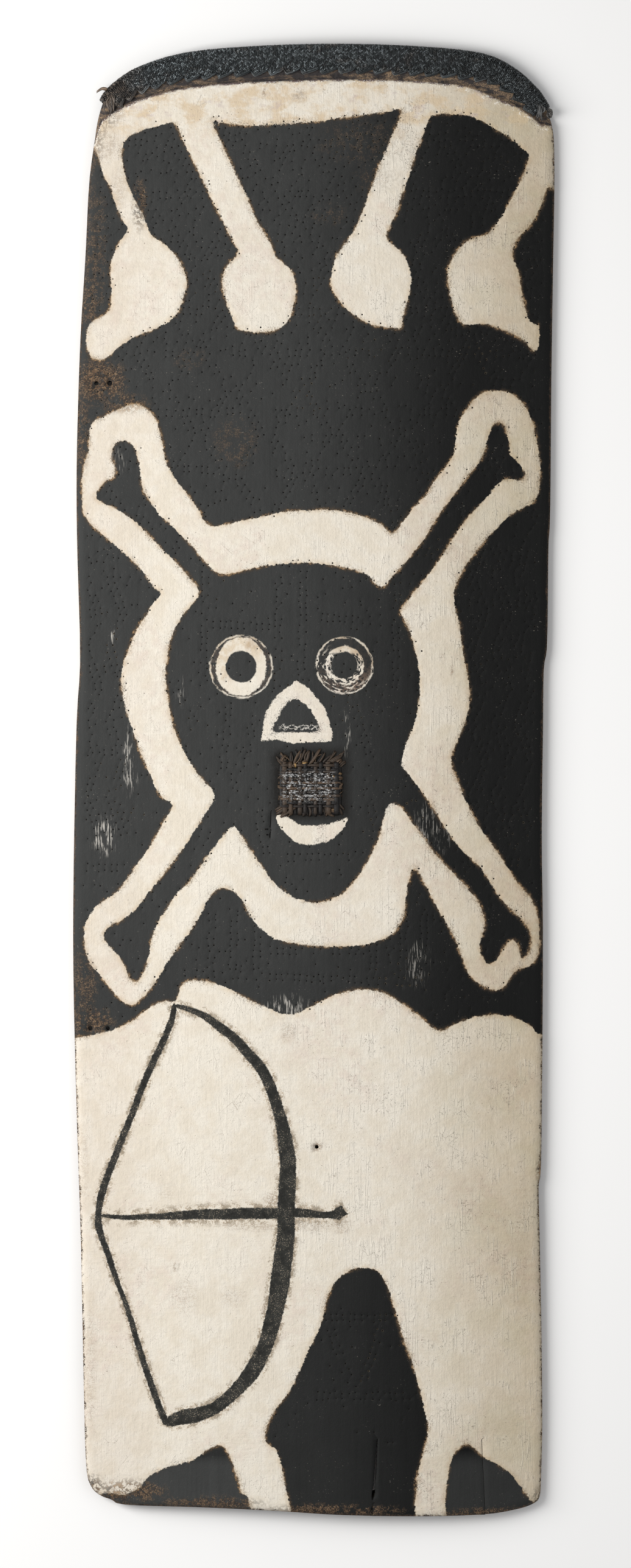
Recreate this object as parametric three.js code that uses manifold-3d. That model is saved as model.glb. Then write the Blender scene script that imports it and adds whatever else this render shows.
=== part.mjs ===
// A long wooden plank shield, lying on its back with the painted face up.
// The plank is crowned across its width, hollowed behind, and thinned along the arched top edge,
// where a plaited fibre binding wraps over it. A woven lashing passes through two slots near the middle.
// Millimetres. +X is to the right of the painted face, +Y runs to the bound top, +Z points out of the face.
// The origin is under the middle of the shield, on the surface that it lies on.
import * as THREE from "three";
import { mergeVertices } from "three/addons/utils/BufferGeometryUtils.js";
import Module from "manifold-3d";

// Plank section
const HALF_WIDTH = 262;
const EDGE_THICKNESS = 12.5;
const CROWN = 15;
const FOOT_X = 225; // beyond this the back is flat, and the plank lies on these two strips
const HOLLOW = 12;
const SECTION_STEPS = 28;

// Cutting shapes are larger than the plank by these
const SIDE_OVERSHOOT = 20;
const SLAB_LENGTH = 1700;
const BELOW = -20;
const ABOVE = 80;

// Top margin, thinned on both faces to take the binding
const FRONT_REBATE = 2.5;
const BACK_REBATE = 5;
const GAP = 0.4;

// Plaited binding
const BINDING_FRONT = 6;
const BINDING_OUTSIDE = 5.6;
const LOBES = 27;
const STATIONS_PER_LOBE = 4;
const BAND_DEPTH = { middle: 22, end: 15.5 };
const LOBE_DEPTH = { middle: 5.5, end: 4 };
const BACK_BAND_DEPTH = { middle: 25, end: 17 };
const LOBE_RISE = 0.75; // share of each lobe's pitch over which it deepens to its tip

// Woven lashing
const LASHING = { left: -38, right: 30, bottom: -41, top: 32, coreTop: 16 };
const LASHING_HEIGHT = { core: 5.4, fan: 3.6, back: 4.6 };
const SLOT = { left: -31, right: 23, height: 6 };
const SLOT_CENTRES_Y = [25, -35];

// Old tie holes, in pairs near the left edge, and one nail hole
const TIE_HOLES = [
  { x: -236, y: 430, radius: 2.4 },
  { x: -221.5, y: 430, radius: 3 },
  { x: -242.5, y: -270, radius: 2.6 },
  { x: -223.5, y: -270, radius: 2.2 },
];
const NAIL_HOLE = { x: 3, y: -398, radius: 2.2 };
const HOLE_SIDES = 10;
const HOLE_LENGTH = 60;

// Outline of the plank, as four edges that join at the corners
const LEFT_EDGE = [
  [-236.5, 705], [-238, 693], [-244, 647], [-248, 568], [-253, 489], [-256, 410], [-257.7, 330],
  [-257, 251], [-253.8, 132], [-257.7, 60], [-261, -105], [-261, -224], [-257, -382], [-253, -501],
  [-249.8, -660], [-247.2, -745],
];
const BOTTOM_EDGE = [
  [-241.5, -768], [-231, -777.5], [-219.5, -781.5], [-204, -787], [-122, -789], [-45, -792.3],
  [29, -797], [115, -798.7], [184, -797.2], [221, -791.7], [239, -785.5], [245.2, -777],
];
const RIGHT_EDGE = [
  [246.5, -752], [247.8, -693], [246.5, -580], [244.5, -481], [243.8, -440], [246.6, -408],
  [248.5, -184], [247.2, -66], [248.5, 53], [249.4, 120], [253.1, 148], [254.4, 251], [256.4, 291],
  [257.7, 436], [259.7, 568], [261, 647], [260.4, 693],
];
const TOP_EDGE = [
  [258, 711], [255.3, 720], [249, 734], [237, 750], [214, 769.5], [180, 784], [110, 790.6],
  [25, 792.8], [-60, 790.6], [-138, 784], [-188, 769.5], [-212, 755], [-226, 741], [-233, 722],
];
// Lower line of the thinned margin, from left to right
const LEDGE = [
  [-250, 700], [-221, 722], [-182, 740], [-112, 753], [3, 758], [90, 757.5], [160, 752.5],
  [196, 740], [226, 727], [248, 710], [275, 690],
];
// A crack that has opened right through, with the small hole at its foot
const CRACK = [
  [68.6, -714], [68.2, -735], [67.2, -755], [65.6, -771], [65.2, -777.5], [64, -781],
  [62, -779.5], [62.6, -775], [64.2, -770], [65.4, -755], [66.6, -735], [67.6, -714],
];

const wasm = await Module();
wasm.setup();

const crownHeight = (x) => EDGE_THICKNESS + CROWN * (1 - (x / HALF_WIDTH) ** 2);
const hollowHeight = (x) => HOLLOW * Math.max(0, 1 - (x / FOOT_X) ** 2);

function toSolid(geometry) {
  const bare = geometry.index ? geometry : geometry.clone();
  bare.deleteAttribute("normal");
  bare.deleteAttribute("uv");
  const merged = mergeVertices(bare, 1e-4);
  return new wasm.Manifold(new wasm.Mesh({
    numProp: 3,
    vertProperties: new Float32Array(merged.attributes.position.array),
    triVerts: new Uint32Array(merged.index.array),
  }));
}

function toMesh(solid, name, material) {
  const { numProp, vertProperties, triVerts } = solid.getMesh();
  const geometry = new THREE.BufferGeometry();
  const interleaved = new THREE.InterleavedBuffer(vertProperties, numProp);
  const positions = new THREE.InterleavedBufferAttribute(interleaved, 3, 0);
  const flat = new Float32Array(positions.count * 3);
  for (let i = 0; i < positions.count; i++) {
    flat.set([positions.getX(i), positions.getY(i), positions.getZ(i)], i * 3);
  }
  geometry.setAttribute("position", new THREE.BufferAttribute(flat, 3));
  geometry.setIndex(new THREE.BufferAttribute(new Uint32Array(triVerts), 1));
  geometry.computeVertexNormals();
  const mesh = new THREE.Mesh(geometry, material);
  mesh.name = name;
  return mesh;
}

const vectors = (points) => points.map(([x, y]) => new THREE.Vector2(x, y));

function smoothLine(points, steps) {
  return new THREE.SplineCurve(vectors(points)).getPoints(steps);
}

// A prism that stands on the XY plane, with the given outline.
function prism(outline, low, high) {
  const geometry = new THREE.ExtrudeGeometry(new THREE.Shape(outline), {
    depth: high - low,
    bevelEnabled: false,
  });
  return toSolid(geometry.translate(0, 0, low));
}

// A slab that runs the whole length, between two height profiles across the width.
function crownedSlab(lowAt, highAt) {
  const reach = HALF_WIDTH + SIDE_OVERSHOOT;
  const xs = [-FOOT_X, FOOT_X];
  for (let i = 0; i <= SECTION_STEPS; i++) {
    xs.push(-reach + (2 * reach * i) / SECTION_STEPS);
  }
  xs.sort((a, b) => a - b);
  const under = xs.map((x) => new THREE.Vector2(x, lowAt(x)));
  const over = xs.map((x) => new THREE.Vector2(x, highAt(x))).reverse();
  const geometry = new THREE.ExtrudeGeometry(new THREE.Shape([...under, ...over]), {
    depth: SLAB_LENGTH,
    bevelEnabled: false,
  });
  return toSolid(geometry.rotateX(Math.PI / 2).translate(0, SLAB_LENGTH / 2, 0));
}

function roundHole({ x, y, radius }) {
  const geometry = new THREE.CylinderGeometry(radius, radius, HOLE_LENGTH, HOLE_SIDES);
  return toSolid(geometry.rotateX(Math.PI / 2).translate(x, y, 10));
}

function block(left, right, bottom, top, low, high) {
  const geometry = new THREE.BoxGeometry(right - left, top - bottom, high - low);
  return toSolid(geometry.translate((left + right) / 2, (bottom + top) / 2, (low + high) / 2));
}

// Plank -----------------------------------------------------------------------------------------
const OUTLINE_STEPS = 190;
const handPoints = [...LEFT_EDGE, ...BOTTOM_EDGE, ...RIGHT_EDGE, ...TOP_EDGE, LEFT_EDGE[0]];
const outlinePoints = smoothLine(handPoints, OUTLINE_STEPS);
outlinePoints.pop();

// The outline moved outwards by the given distance.
function grownOutline(distance) {
  const count = outlinePoints.length;
  return outlinePoints.map((point, i) => {
    const along = outlinePoints[(i + 1) % count].clone().sub(outlinePoints[(i + count - 1) % count]);
    const outwards = new THREE.Vector2(along.y, -along.x).normalize();
    return point.clone().addScaledVector(outwards, distance);
  });
}

const marginOutline = [
  ...smoothLine(LEDGE, 40),
  new THREE.Vector2(300, 850),
  new THREE.Vector2(-300, 850),
];

function thinnedMargin(gap) {
  return crownedSlab(
    (x) => hollowHeight(x) + BACK_REBATE - gap,
    (x) => crownHeight(x) - FRONT_REBATE + gap,
  );
}

function makePlank() {
  let plank = crownedSlab(hollowHeight, crownHeight).intersect(prism(outlinePoints, BELOW, ABOVE));
  const cutAway = prism(marginOutline, BELOW, ABOVE).subtract(thinnedMargin(0));
  plank = plank.subtract(cutAway);
  for (const y of SLOT_CENTRES_Y) {
    const half = SLOT.height / 2;
    plank = plank.subtract(block(SLOT.left, SLOT.right, y - half, y + half, BELOW, ABOVE));
  }
  for (const hole of [...TIE_HOLES, NAIL_HOLE]) {
    plank = plank.subtract(roundHole(hole));
  }
  return plank.subtract(prism(vectors(CRACK), BELOW, ABOVE));
}

// Plaited binding ---------------------------------------------------------------------------------
const topLine = new THREE.SplineCurve(vectors([...TOP_EDGE].slice(2, -1)));

// 1 in the middle of the binding, falling to 0 at its ends.
const middleness = (share) => Math.min(1, Math.sin(Math.PI * share) * 1.6);

function bandDepth(share) {
  const m = middleness(share);
  const plain = BAND_DEPTH.end + (BAND_DEPTH.middle - BAND_DEPTH.end) * m;
  const lobe = LOBE_DEPTH.end + (LOBE_DEPTH.middle - LOBE_DEPTH.end) * m;
  const phase = (share * LOBES) % 1;
  return plain + lobe * (phase < LOBE_RISE ? phase / LOBE_RISE : (1 - phase) / (1 - LOBE_RISE));
}

// One section of the binding: distance outside the plank's edge and height, front to back.
function bindingRing(share) {
  const depth = bandDepth(share);
  const m = middleness(share);
  const back = -(BACK_BAND_DEPTH.end + (BACK_BAND_DEPTH.middle - BACK_BAND_DEPTH.end) * m);
  const over = BINDING_FRONT - FRONT_REBATE;
  return [
    { out: -depth, up: -FRONT_REBATE + 1.2, from: "front" },
    { out: -depth + 1.5, up: over - 0.8, from: "front" },
    { out: -depth + 5, up: over, from: "front" },
    { out: -5, up: over, from: "front" },
    { out: 1, up: over - 1.6, from: "front" },
    { out: BINDING_OUTSIDE * 0.75, up: over - 4.4, from: "front" },
    { out: BINDING_OUTSIDE, up: over - 8, from: "front" },
    { out: BINDING_OUTSIDE * 0.8, up: 3.4, from: "back" },
    { out: 2, up: 0.8, from: "back" },
    { out: -4, up: 0, from: "back" },
    { out: back, up: 0, from: "back" },
    { out: back - 1, up: BACK_REBATE - 1, from: "back" },
  ];
}

function makeBinding() {
  const stations = LOBES * STATIONS_PER_LOBE;
  const positions = [];
  const indices = [];
  const sides = bindingRing(0).length;
  for (let i = 0; i <= stations; i++) {
    const share = i / stations;
    const point = topLine.getPointAt(share);
    const tangent = topLine.getTangentAt(share);
    const outwards = new THREE.Vector2(tangent.y, -tangent.x);
    for (const { out, up, from } of bindingRing(share)) {
      const at = point.clone().addScaledVector(outwards, out);
      const base = from === "front" ? crownHeight(at.x) : hollowHeight(at.x);
      positions.push(at.x, at.y, base + up);
    }
  }
  for (let i = 0; i < stations; i++) {
    for (let j = 0; j < sides; j++) {
      const a = i * sides + j;
      const b = i * sides + ((j + 1) % sides);
      indices.push(a, b, a + sides, b, b + sides, a + sides);
    }
  }
  const last = stations * sides;
  for (let j = 1; j < sides - 1; j++) {
    indices.push(0, j + 1, j);
    indices.push(last, last + j, last + j + 1);
  }
  const geometry = new THREE.BufferGeometry();
  geometry.setAttribute("position", new THREE.Float32BufferAttribute(positions, 3));
  geometry.setIndex(indices);
  let band = toSolid(geometry);
  const room = thinnedMargin(GAP).intersect(prism(grownOutline(GAP), BELOW, ABOVE));
  band = band.subtract(room);
  return band.subtract(crownedSlab(hollowHeight, crownHeight).subtract(prism(marginOutline, BELOW, ABOVE)));
}

// Woven lashing ------------------------------------------------------------------------------------
function makeLashing() {
  const { left, right, bottom, top, coreTop } = LASHING;
  const core = vectors([
    [left + 5, bottom], [right - 5, bottom], [right, bottom + 6],
    [right, coreTop], [left, coreTop], [left, bottom + 6],
  ]);
  const fan = vectors([
    [left + 1, coreTop - 2], [right - 1, coreTop - 2], [right + 3, top - 8], [right - 8, top - 1],
    [(left + right) / 2, top], [left + 8, top - 2], [left - 3, top - 9],
  ]);
  const backPatch = vectors([
    [left + 4, bottom], [right - 4, bottom], [right - 3, top - 2], [left + 3, top - 2],
  ]);
  const padOver = (height) => crownedSlab((x) => crownHeight(x) + GAP, (x) => crownHeight(x) + height);
  const padUnder = crownedSlab((x) => hollowHeight(x) - LASHING_HEIGHT.back, (x) => hollowHeight(x) - GAP);
  let lashing = padOver(LASHING_HEIGHT.core).intersect(prism(core, BELOW, ABOVE));
  lashing = lashing.add(padOver(LASHING_HEIGHT.fan).intersect(prism(fan, BELOW, ABOVE)));
  lashing = lashing.add(padUnder.intersect(prism(backPatch, BELOW, ABOVE)));
  for (const y of SLOT_CENTRES_Y) {
    const half = SLOT.height / 2 - GAP;
    const [left, right] = [SLOT.left + GAP, SLOT.right - GAP];
    lashing = lashing.add(block(left, right, y - half, y + half, HOLLOW - 2, CROWN + EDGE_THICKNESS + 1));
  }
  return lashing;
}

const paintedWood = new THREE.MeshStandardMaterial({ color: 0x3b3b3a, roughness: 0.75, metalness: 0 });
const darkFibre = new THREE.MeshStandardMaterial({ color: 0x30363a, roughness: 0.6, metalness: 0 });
const brownCane = new THREE.MeshStandardMaterial({ color: 0x4c4035, roughness: 0.7, metalness: 0 });

const shield = new THREE.Group();
shield.add(toMesh(makePlank(), "plank", paintedWood));
shield.add(toMesh(makeBinding(), "rim_binding", darkFibre));
shield.add(toMesh(makeLashing(), "grip_lashing", brownCane));

export default shield;
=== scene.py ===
"""A long painted plank shield, lying on its back with the painted face up.

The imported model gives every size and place. The plank, its plaited rim binding and the woven grip
lashing are modelled here in full, and each replaces its plain solid. The painter's figures are drawn
as outlines in millimetres on the face, +X to the right and +Y to the bound top, from the middle of
the shield. Everything that is built is in metres.
"""
import math
import random

import bmesh
import bpy
import numpy as np
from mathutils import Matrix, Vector
from mathutils.bvhtree import BVHTree


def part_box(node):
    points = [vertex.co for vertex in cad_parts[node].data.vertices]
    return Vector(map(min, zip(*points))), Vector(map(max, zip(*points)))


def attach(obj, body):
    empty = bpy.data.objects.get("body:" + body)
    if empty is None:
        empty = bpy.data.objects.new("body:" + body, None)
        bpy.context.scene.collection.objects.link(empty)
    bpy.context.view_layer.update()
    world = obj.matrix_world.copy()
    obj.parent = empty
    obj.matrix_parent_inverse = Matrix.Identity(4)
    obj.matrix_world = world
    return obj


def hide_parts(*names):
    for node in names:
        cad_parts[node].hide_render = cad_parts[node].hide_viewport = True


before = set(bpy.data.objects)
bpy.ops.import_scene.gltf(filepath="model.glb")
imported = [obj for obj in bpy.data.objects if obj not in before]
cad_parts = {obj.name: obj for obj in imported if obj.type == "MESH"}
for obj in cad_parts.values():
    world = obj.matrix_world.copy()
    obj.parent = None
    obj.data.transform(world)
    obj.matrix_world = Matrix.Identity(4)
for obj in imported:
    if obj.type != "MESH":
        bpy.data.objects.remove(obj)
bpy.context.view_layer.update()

MM = 0.001
DOWN = Vector((0, 0, -1))
UP = Vector((0, 0, 1))

# ---------------------------------------------------------------------------------------------
# The painter's figures: outlines in millimetres
# ---------------------------------------------------------------------------------------------
# The cream top figure, from the left edge down the outer leg, along all four legs, and round the top.
CREAM_TOP = [
    (-262, 692), (-240, 686), (-235, 677), (-232.5, 667), (-227.5, 654), (-221, 642),
    (-216, 627), (-211, 613), (-205, 603), (-202, 597),
    (-208, 587), (-214, 577), (-219, 565), (-221, 552), (-220, 536), (-220, 520), (-221, 511), (-228, 504),
    (-236, 500), (-243, 495), (-246, 487), (-247, 474), (-244, 461), (-237, 456), (-229, 455), (-221, 460),
    (-213, 467), (-204, 474), (-194, 480), (-182, 484), (-168, 490), (-156, 497), (-148, 505), (-142, 517),
    (-138, 531), (-138, 544), (-143, 558), (-151, 570), (-162, 580), (-173, 588), (-179, 595), (-184, 610),
    (-190, 622), (-197, 635), (-203, 650), (-206, 663), (-208, 676), (-207, 687), (-203, 694), (-195, 700),
    (-184, 704), (-170, 708), (-156, 711.5), (-150, 710), (-146, 701), (-139, 686), (-131, 670), (-123, 653),
    (-115, 637), (-108, 622), (-100, 606), (-92, 590), (-86, 580), (-82, 572), (-86, 565), (-93, 559),
    (-98, 550), (-100, 539), (-98, 525), (-94, 512), (-88, 499), (-84, 490), (-77, 486), (-64, 484),
    (-50, 484), (-39, 487), (-30, 493), (-24, 503), (-21, 516), (-19, 530), (-21, 543), (-26, 553),
    (-35, 561), (-42, 568), (-45, 578), (-52, 590), (-60, 603), (-66, 616), (-73, 632), (-82, 651),
    (-90, 669), (-98, 686), (-105, 701), (-111, 714), (-103, 712), (-90, 709.5), (-65, 708), (-35, 709),
    (-5, 711.5), (30, 716), (60, 720), (82, 723.5), (94, 725.5), (92, 716), (86, 701), (79, 685),
    (71, 667), (64, 648), (57, 628), (50, 609), (44, 595), (37, 586), (29, 575), (22, 562), (19, 548),
    (18, 537), (22, 526), (30, 515), (41, 504), (54, 496), (68, 491), (82, 489), (94, 488), (96, 498),
    (100, 512), (104, 530), (105.5, 546), (101, 562), (94, 572), (85, 580), (80, 585), (79, 592),
    (84, 602), (91, 617), (97, 637), (105, 660), (112, 681), (119, 700), (125, 715), (130, 720),
    (150, 721), (168, 719), (184, 713), (198, 704), (213, 695), (225, 685), (232, 679), (232, 671),
    (225, 653), (215, 633), (206, 616), (197, 603), (188, 592), (178, 588.5), (167, 585), (158, 577),
    (150, 566), (145, 553), (145, 539), (148, 521), (153, 505), (160, 494), (169, 492), (180, 494),
    (192, 492), (205, 487), (219, 481), (230, 473), (239, 464), (243.5, 469), (244.5, 481), (244, 492),
    (239, 495), (233, 499), (229, 514), (225, 531), (222, 550), (216.5, 565), (216, 573), (220, 584),
    (226, 592), (234, 600), (242, 612), (249, 627), (255, 643), (280, 652), (300, 900), (-300, 900),
]
# The cream halo round the skull and its crossed bones: outer border, then the black figure inside it.
HALO = [
    (-250, 290), (-251.5, 310), (-252, 328), (-249, 344), (-245, 358), (-244, 376), (-241, 387),
    (-232, 393), (-216, 400), (-203, 406), (-191, 407), (-181, 402), (-173, 394), (-168, 382), (-164, 367),
    (-161.5, 352), (-158, 340), (-150, 326), (-139, 312), (-127, 296), (-118, 280), (-109, 274.5),
    (-98, 276), (-80, 280), (-60, 284), (-43, 288), (-27, 291), (-8, 291.5), (12, 292.5), (30, 291),
    (47, 286.5), (62, 282), (74, 276), (85, 266.5), (94, 277), (103, 289), (113, 300), (121, 308),
    (128, 321), (138, 333), (147, 345), (152, 356), (153.5, 373), (157, 389), (165, 401), (174, 413),
    (184, 420), (196, 422), (209, 421), (221, 414), (230, 404), (237, 389), (242, 368), (245.5, 345),
    (245, 322), (243, 308), (236, 299), (226, 294), (214, 287), (200, 274), (186, 259), (174, 244),
    (162, 227), (155, 213), (152, 201), (153.5, 184), (158, 167), (160.5, 149), (163.5, 129), (167.5, 108),
    (169, 88), (167, 73), (162, 57), (155, 40), (149, 26), (149.5, 18), (152, 8), (159, -8), (167, -27),
    (177, -46), (190, -66), (203, -84), (213, -100), (224, -116), (234, -126), (240.5, -139),
    (244.5, -157), (245, -178), (241.5, -195), (233, -203), (221, -207), (213, -216), (206, -226),
    (196, -229), (184, -225), (173, -217), (165, -206), (159, -190), (152, -172), (142, -154), (131, -135),
    (120, -114), (112, -100), (108, -96), (105, -103), (102, -115), (99.5, -131), (98, -147), (92, -159),
    (83, -169), (69, -175.5), (50, -180), (26, -181), (2, -181), (-18, -178.5), (-38, -175), (-52, -167),
    (-63, -157), (-72, -143), (-79, -130), (-88, -121), (-98, -118), (-106, -121), (-114, -130),
    (-122, -146), (-132, -162), (-143, -177), (-154, -192), (-166, -211), (-177, -227), (-188, -239),
    (-197, -245), (-206, -242), (-217, -232), (-228, -218), (-238, -206), (-246, -193), (-249.5, -175),
    (-248, -158), (-242, -144), (-232, -134), (-220, -127), (-210, -117), (-200, -104), (-189, -88),
    (-176, -69), (-164, -47), (-153, -29), (-162, -22), (-171, -11), (-178, 6), (-186, 23), (-193, 42),
    (-199, 60), (-205, 78), (-209, 98), (-208, 121), (-201, 142), (-194, 160), (-184, 176), (-175, 190),
    (-166, 201.5), (-175, 210), (-186, 225), (-200, 240), (-215, 253), (-229, 265), (-242, 276),
]
SKULL_AND_BONES = [
    (-100, 222), (-80, 225), (-60, 229.5), (-40, 232.5), (-20, 234.5), (2, 234), (22, 231), (38, 228),
    (52, 224), (60, 219), (65, 212), (72, 208), (79, 211), (87, 222), (98, 233), (108, 246), (120, 261),
    (131, 279), (143, 297), (156, 314), (168, 330), (179, 343), (185, 356), (189, 371), (194, 384),
    (200, 387), (206, 384), (209.5, 373), (212, 362), (212, 353), (220, 346), (226, 337), (229, 330),
    (224, 325), (211, 326), (200, 321.5), (188, 307), (175, 293), (162, 278), (150, 261), (138, 242),
    (126, 225), (114, 210), (104, 198), (97, 188), (93, 181), (98, 171), (104, 159), (108, 145),
    (112, 127), (114.5, 108), (114, 88), (111, 69), (105, 51), (98, 33), (94.5, 19), (97, 12), (106, 0),
    (117, -14), (129, -32), (142, -53), (154, -70), (168, -84), (182, -98), (192, -114), (203, -131),
    (217, -145), (230, -158), (235.5, -172), (233, -187), (226, -194), (223, -185), (220, -176),
    (214, -174), (207, -180), (200, -192), (192, -200), (184, -195), (180, -184), (181.5, -172),
    (185.5, -160), (183, -143), (174, -126), (159, -109), (143, -93), (129, -77), (117, -60), (106, -46),
    (96, -32), (86, -25.5), (79, -30), (75, -42), (71, -60), (63, -78), (54, -95), (43, -111), (30, -124),
    (16, -130.5), (1, -133), (-15, -130), (-29, -123), (-43, -111), (-54, -97), (-65, -81), (-75, -66),
    (-83, -54), (-88, -50), (-95, -57), (-104, -68), (-115, -82), (-126, -98), (-137, -113), (-149, -124),
    (-160, -141), (-170, -156), (-176, -172), (-179, -189), (-184, -207), (-191, -219), (-198, -217),
    (-204, -205), (-212, -191), (-221, -181), (-228, -171), (-224, -161), (-213, -155), (-200, -147),
    (-188, -135), (-176, -119), (-162, -102), (-149, -85), (-136, -67), (-124, -48), (-114, -32),
    (-107, -19), (-113, -8), (-122, 2), (-131, 14), (-140, 29), (-147, 44), (-152, 58), (-156, 76),
    (-159, 97), (-160, 119), (-157, 143), (-150, 163), (-140, 180), (-130, 192), (-124.5, 199),
    (-125, 208), (-131, 215), (-143, 229), (-157, 243), (-172, 258), (-188, 274), (-203, 287),
    (-217, 295), (-229, 300), (-236, 306), (-233, 315), (-225, 323.5), (-216, 328), (-215, 338),
    (-218.5, 347), (-218, 358), (-213, 365), (-204, 367), (-196, 361), (-191, 348), (-189, 334),
    (-186, 315), (-178, 302), (-168, 287), (-157, 278), (-146, 266), (-134, 254), (-123, 241), (-112, 229),
]
NOSE = [
    (-57, 41.5), (-56, 52), (-54, 66), (-49, 78), (-42, 88), (-33, 97), (-25, 103), (-19.5, 107),
    (-12, 103), (-5, 99), (2, 90), (10, 80), (15, 69), (18.5, 55), (20, 43), (12, 40), (-4, 40.5),
    (-22, 39), (-36, 42), (-47, 42.5),
]
NOSTRIL = [
    (-44, 52.5), (-40.5, 64), (-35, 74), (-29, 82), (-20.5, 87), (-12, 83), (-5, 76), (1, 67), (5.5, 53),
    (-10, 51), (-26, 51.5),
]
SMILE = [
    (-40, -38), (-40.5, -46), (-36, -53), (-28, -60.5), (-18, -68.5), (-6, -71), (6, -69.5), (17, -65.5),
    (27, -58.5), (34.5, -50), (37, -42), (33, -42), (24, -45.5), (14, -48.5), (2, -50), (-11, -49.5),
    (-21, -46), (-29, -40),
]
CREAM_FIELD = [
    (-300, -282), (-262, -280), (-246, -278), (-228, -274), (-212, -269), (-197, -261), (-184, -251.5),
    (-172, -243), (-160, -239.5), (-151, -241), (-147.5, -234), (-143, -222), (-131, -217), (-116, -219),
    (-99, -223.5), (-82, -232), (-66, -240), (-52, -246), (-38, -252.5), (-21, -253.5), (-7, -247.5),
    (7, -240.5), (23, -233), (41, -228), (58, -227), (75, -230.5), (89, -238), (103, -248), (116, -258),
    (128, -268), (138, -272), (151, -266), (166, -259.5), (184, -256), (204, -255.5), (221, -259.5),
    (236, -268), (248, -278), (300, -284), (300, -900), (-300, -900),
]
BLACK_FIGURE = [
    (55, -529.5), (66, -531), (74, -539), (81, -554), (87, -573), (92, -591), (97, -608), (104, -626),
    (110, -646), (116, -666), (120, -686), (123.5, -703), (121, -719), (116, -737), (112, -754),
    (110.5, -771), (109, -790), (108, -860), (-20, -860), (-24, -800), (-27, -783), (-31, -763),
    (-35, -745), (-40, -727), (-47, -722), (-52, -715), (-51, -703), (-46, -691), (-39, -679),
    (-30, -668), (-22, -655), (-15, -640), (-7, -621), (2, -603), (9, -587), (12.5, -570), (17, -555),
    (24, -544), (34, -534.5), (44, -530),
]
BLACK_LEFT_TRIANGLE = [
    (-103, -722), (-95, -726.5), (-88, -743), (-83, -757), (-78, -773), (-70, -785), (-64, -860),
    (-240, -860), (-236, -782), (-205, -776), (-188, -768), (-183, -760), (-175, -754), (-162, -747),
    (-146, -742.5), (-129, -736.5), (-115, -727),
]
BLACK_RIGHT_TRIANGLE = [
    (164, -721), (173, -725), (184, -735), (200, -743.5), (214, -754), (224, -767), (233, -781),
    (241, -792), (250, -860), (145, -860), (143.5, -800), (142.5, -782), (144.5, -763), (148, -740),
    (155, -727),
]
# Charcoal lines over the cream: (x, y, half width) along each.
BOW_STAVE = [
    (-150, -245, 1.5), (-136, -249, 2.3), (-119, -256, 3.2), (-102, -268, 4.2), (-85, -281.5, 4.6),
    (-71, -297, 5), (-58, -312, 5.4), (-48, -331, 5.4), (-40, -354, 5.6), (-33.5, -378, 6.6),
    (-30, -400, 8), (-28, -416, 8), (-29, -441, 8.6), (-30, -468, 9), (-30.5, -495, 9), (-34, -523, 9.6),
    (-37, -546, 9.8), (-41, -570, 8.6), (-46, -591, 8.4), (-53, -614, 7.6), (-65, -638, 8.2),
    (-78, -655, 7), (-93, -670, 6.2), (-109, -682, 6.2), (-129, -689, 7.4), (-146, -692, 7), (-160, -698, 4),
]
BOW_STRING = [
    (-151, -244, 2.2), (-154.5, -262, 2.8), (-163, -283, 3), (-173, -304, 3.2), (-185, -331, 3),
    (-194, -355, 3), (-204, -380, 3), (-214, -405, 3.2), (-224, -431, 3.4), (-230.5, -451, 3.4),
    (-233.5, -468, 2.8), (-234, -482, 3.4), (-230, -497, 2.8), (-224, -513, 2.8), (-214, -543, 2.2),
    (-205.5, -565, 2), (-199, -584, 2.4), (-192, -608, 2.6), (-183.5, -635, 2.8), (-175, -659, 3),
    (-168, -679, 3), (-159, -699, 3.2),
]
ARROW = [
    (-231, -473, 1.2), (-204, -475, 2), (-180, -474, 2.6), (-163, -473.5, 3), (-146, -472.5, 4),
    (-129, -471.5, 4.6), (-112, -471, 5), (-95, -471, 5.2), (-78, -470, 5.4), (-61, -470, 5.6),
    (-41, -470, 5.2), (-14, -469.5, 4.2), (7, -471.5, 3), (20, -471.5, 3.6), (27, -470, 7), (31, -470, 8),
]
# Eye rings: centre, inner and outer radius, how much taller than wide, radius of the thin outer line,
# share of paint that covers, and how dry the brush was between the ring and the line.
LEFT_EYE = {
    "x": -78.9, "y": 122.0, "inner": 16.8, "outer": 27.0, "tall": 1.18,
    "line": 34.0, "cover": 0.90, "dry": 0.60,
}
RIGHT_EYE = {
    "x": 32.8, "y": 123.5, "inner": 14.5, "outer": 21.0, "tall": 1.0,
    "line": 30.8, "cover": 0.44, "dry": 0.545,
}

# Places where the paint has worn to brown wood, and pale scuffs: x, y, reach along X and Y, strength.
WORN_PLACES = [
    (-232, 432, 30, 26, 1.0), (-205, 408, 26, 12, 0.75), (-238, 560, 14, 60, 0.5), (-244, 520, 12, 30, 0.7),
    (-252, 380, 10, 60, 0.6), (-243, -262, 28, 16, 0.85), (-250, -225, 16, 40, 0.55),
    (-240, -775, 16, 22, 1.0), (-200, -772, 42, 14, 0.9), (-110, -784, 60, 8, 0.8), (20, -792, 80, 8, 0.8),
    (190, -797, 60, 8, 0.8), (244, -790, 10, 24, 0.8), (-240, 700, 12, 40, 0.7), (-228, 722, 22, 16, 0.7),
    (-135, 455, 20, 12, 0.25), (-85, 365, 26, 30, 0.3), (-250, 640, 10, 24, 0.6), (60, 690, 60, 26, 0.22),
    (70, 650, 30, 16, 0.2), (15, 612, 20, 14, 0.25), (-240, 610, 16, 40, 0.4), (-189, 622, 9, 30, 0.8),
    (246, -424, 6, 13, 1.0),
]
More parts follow.
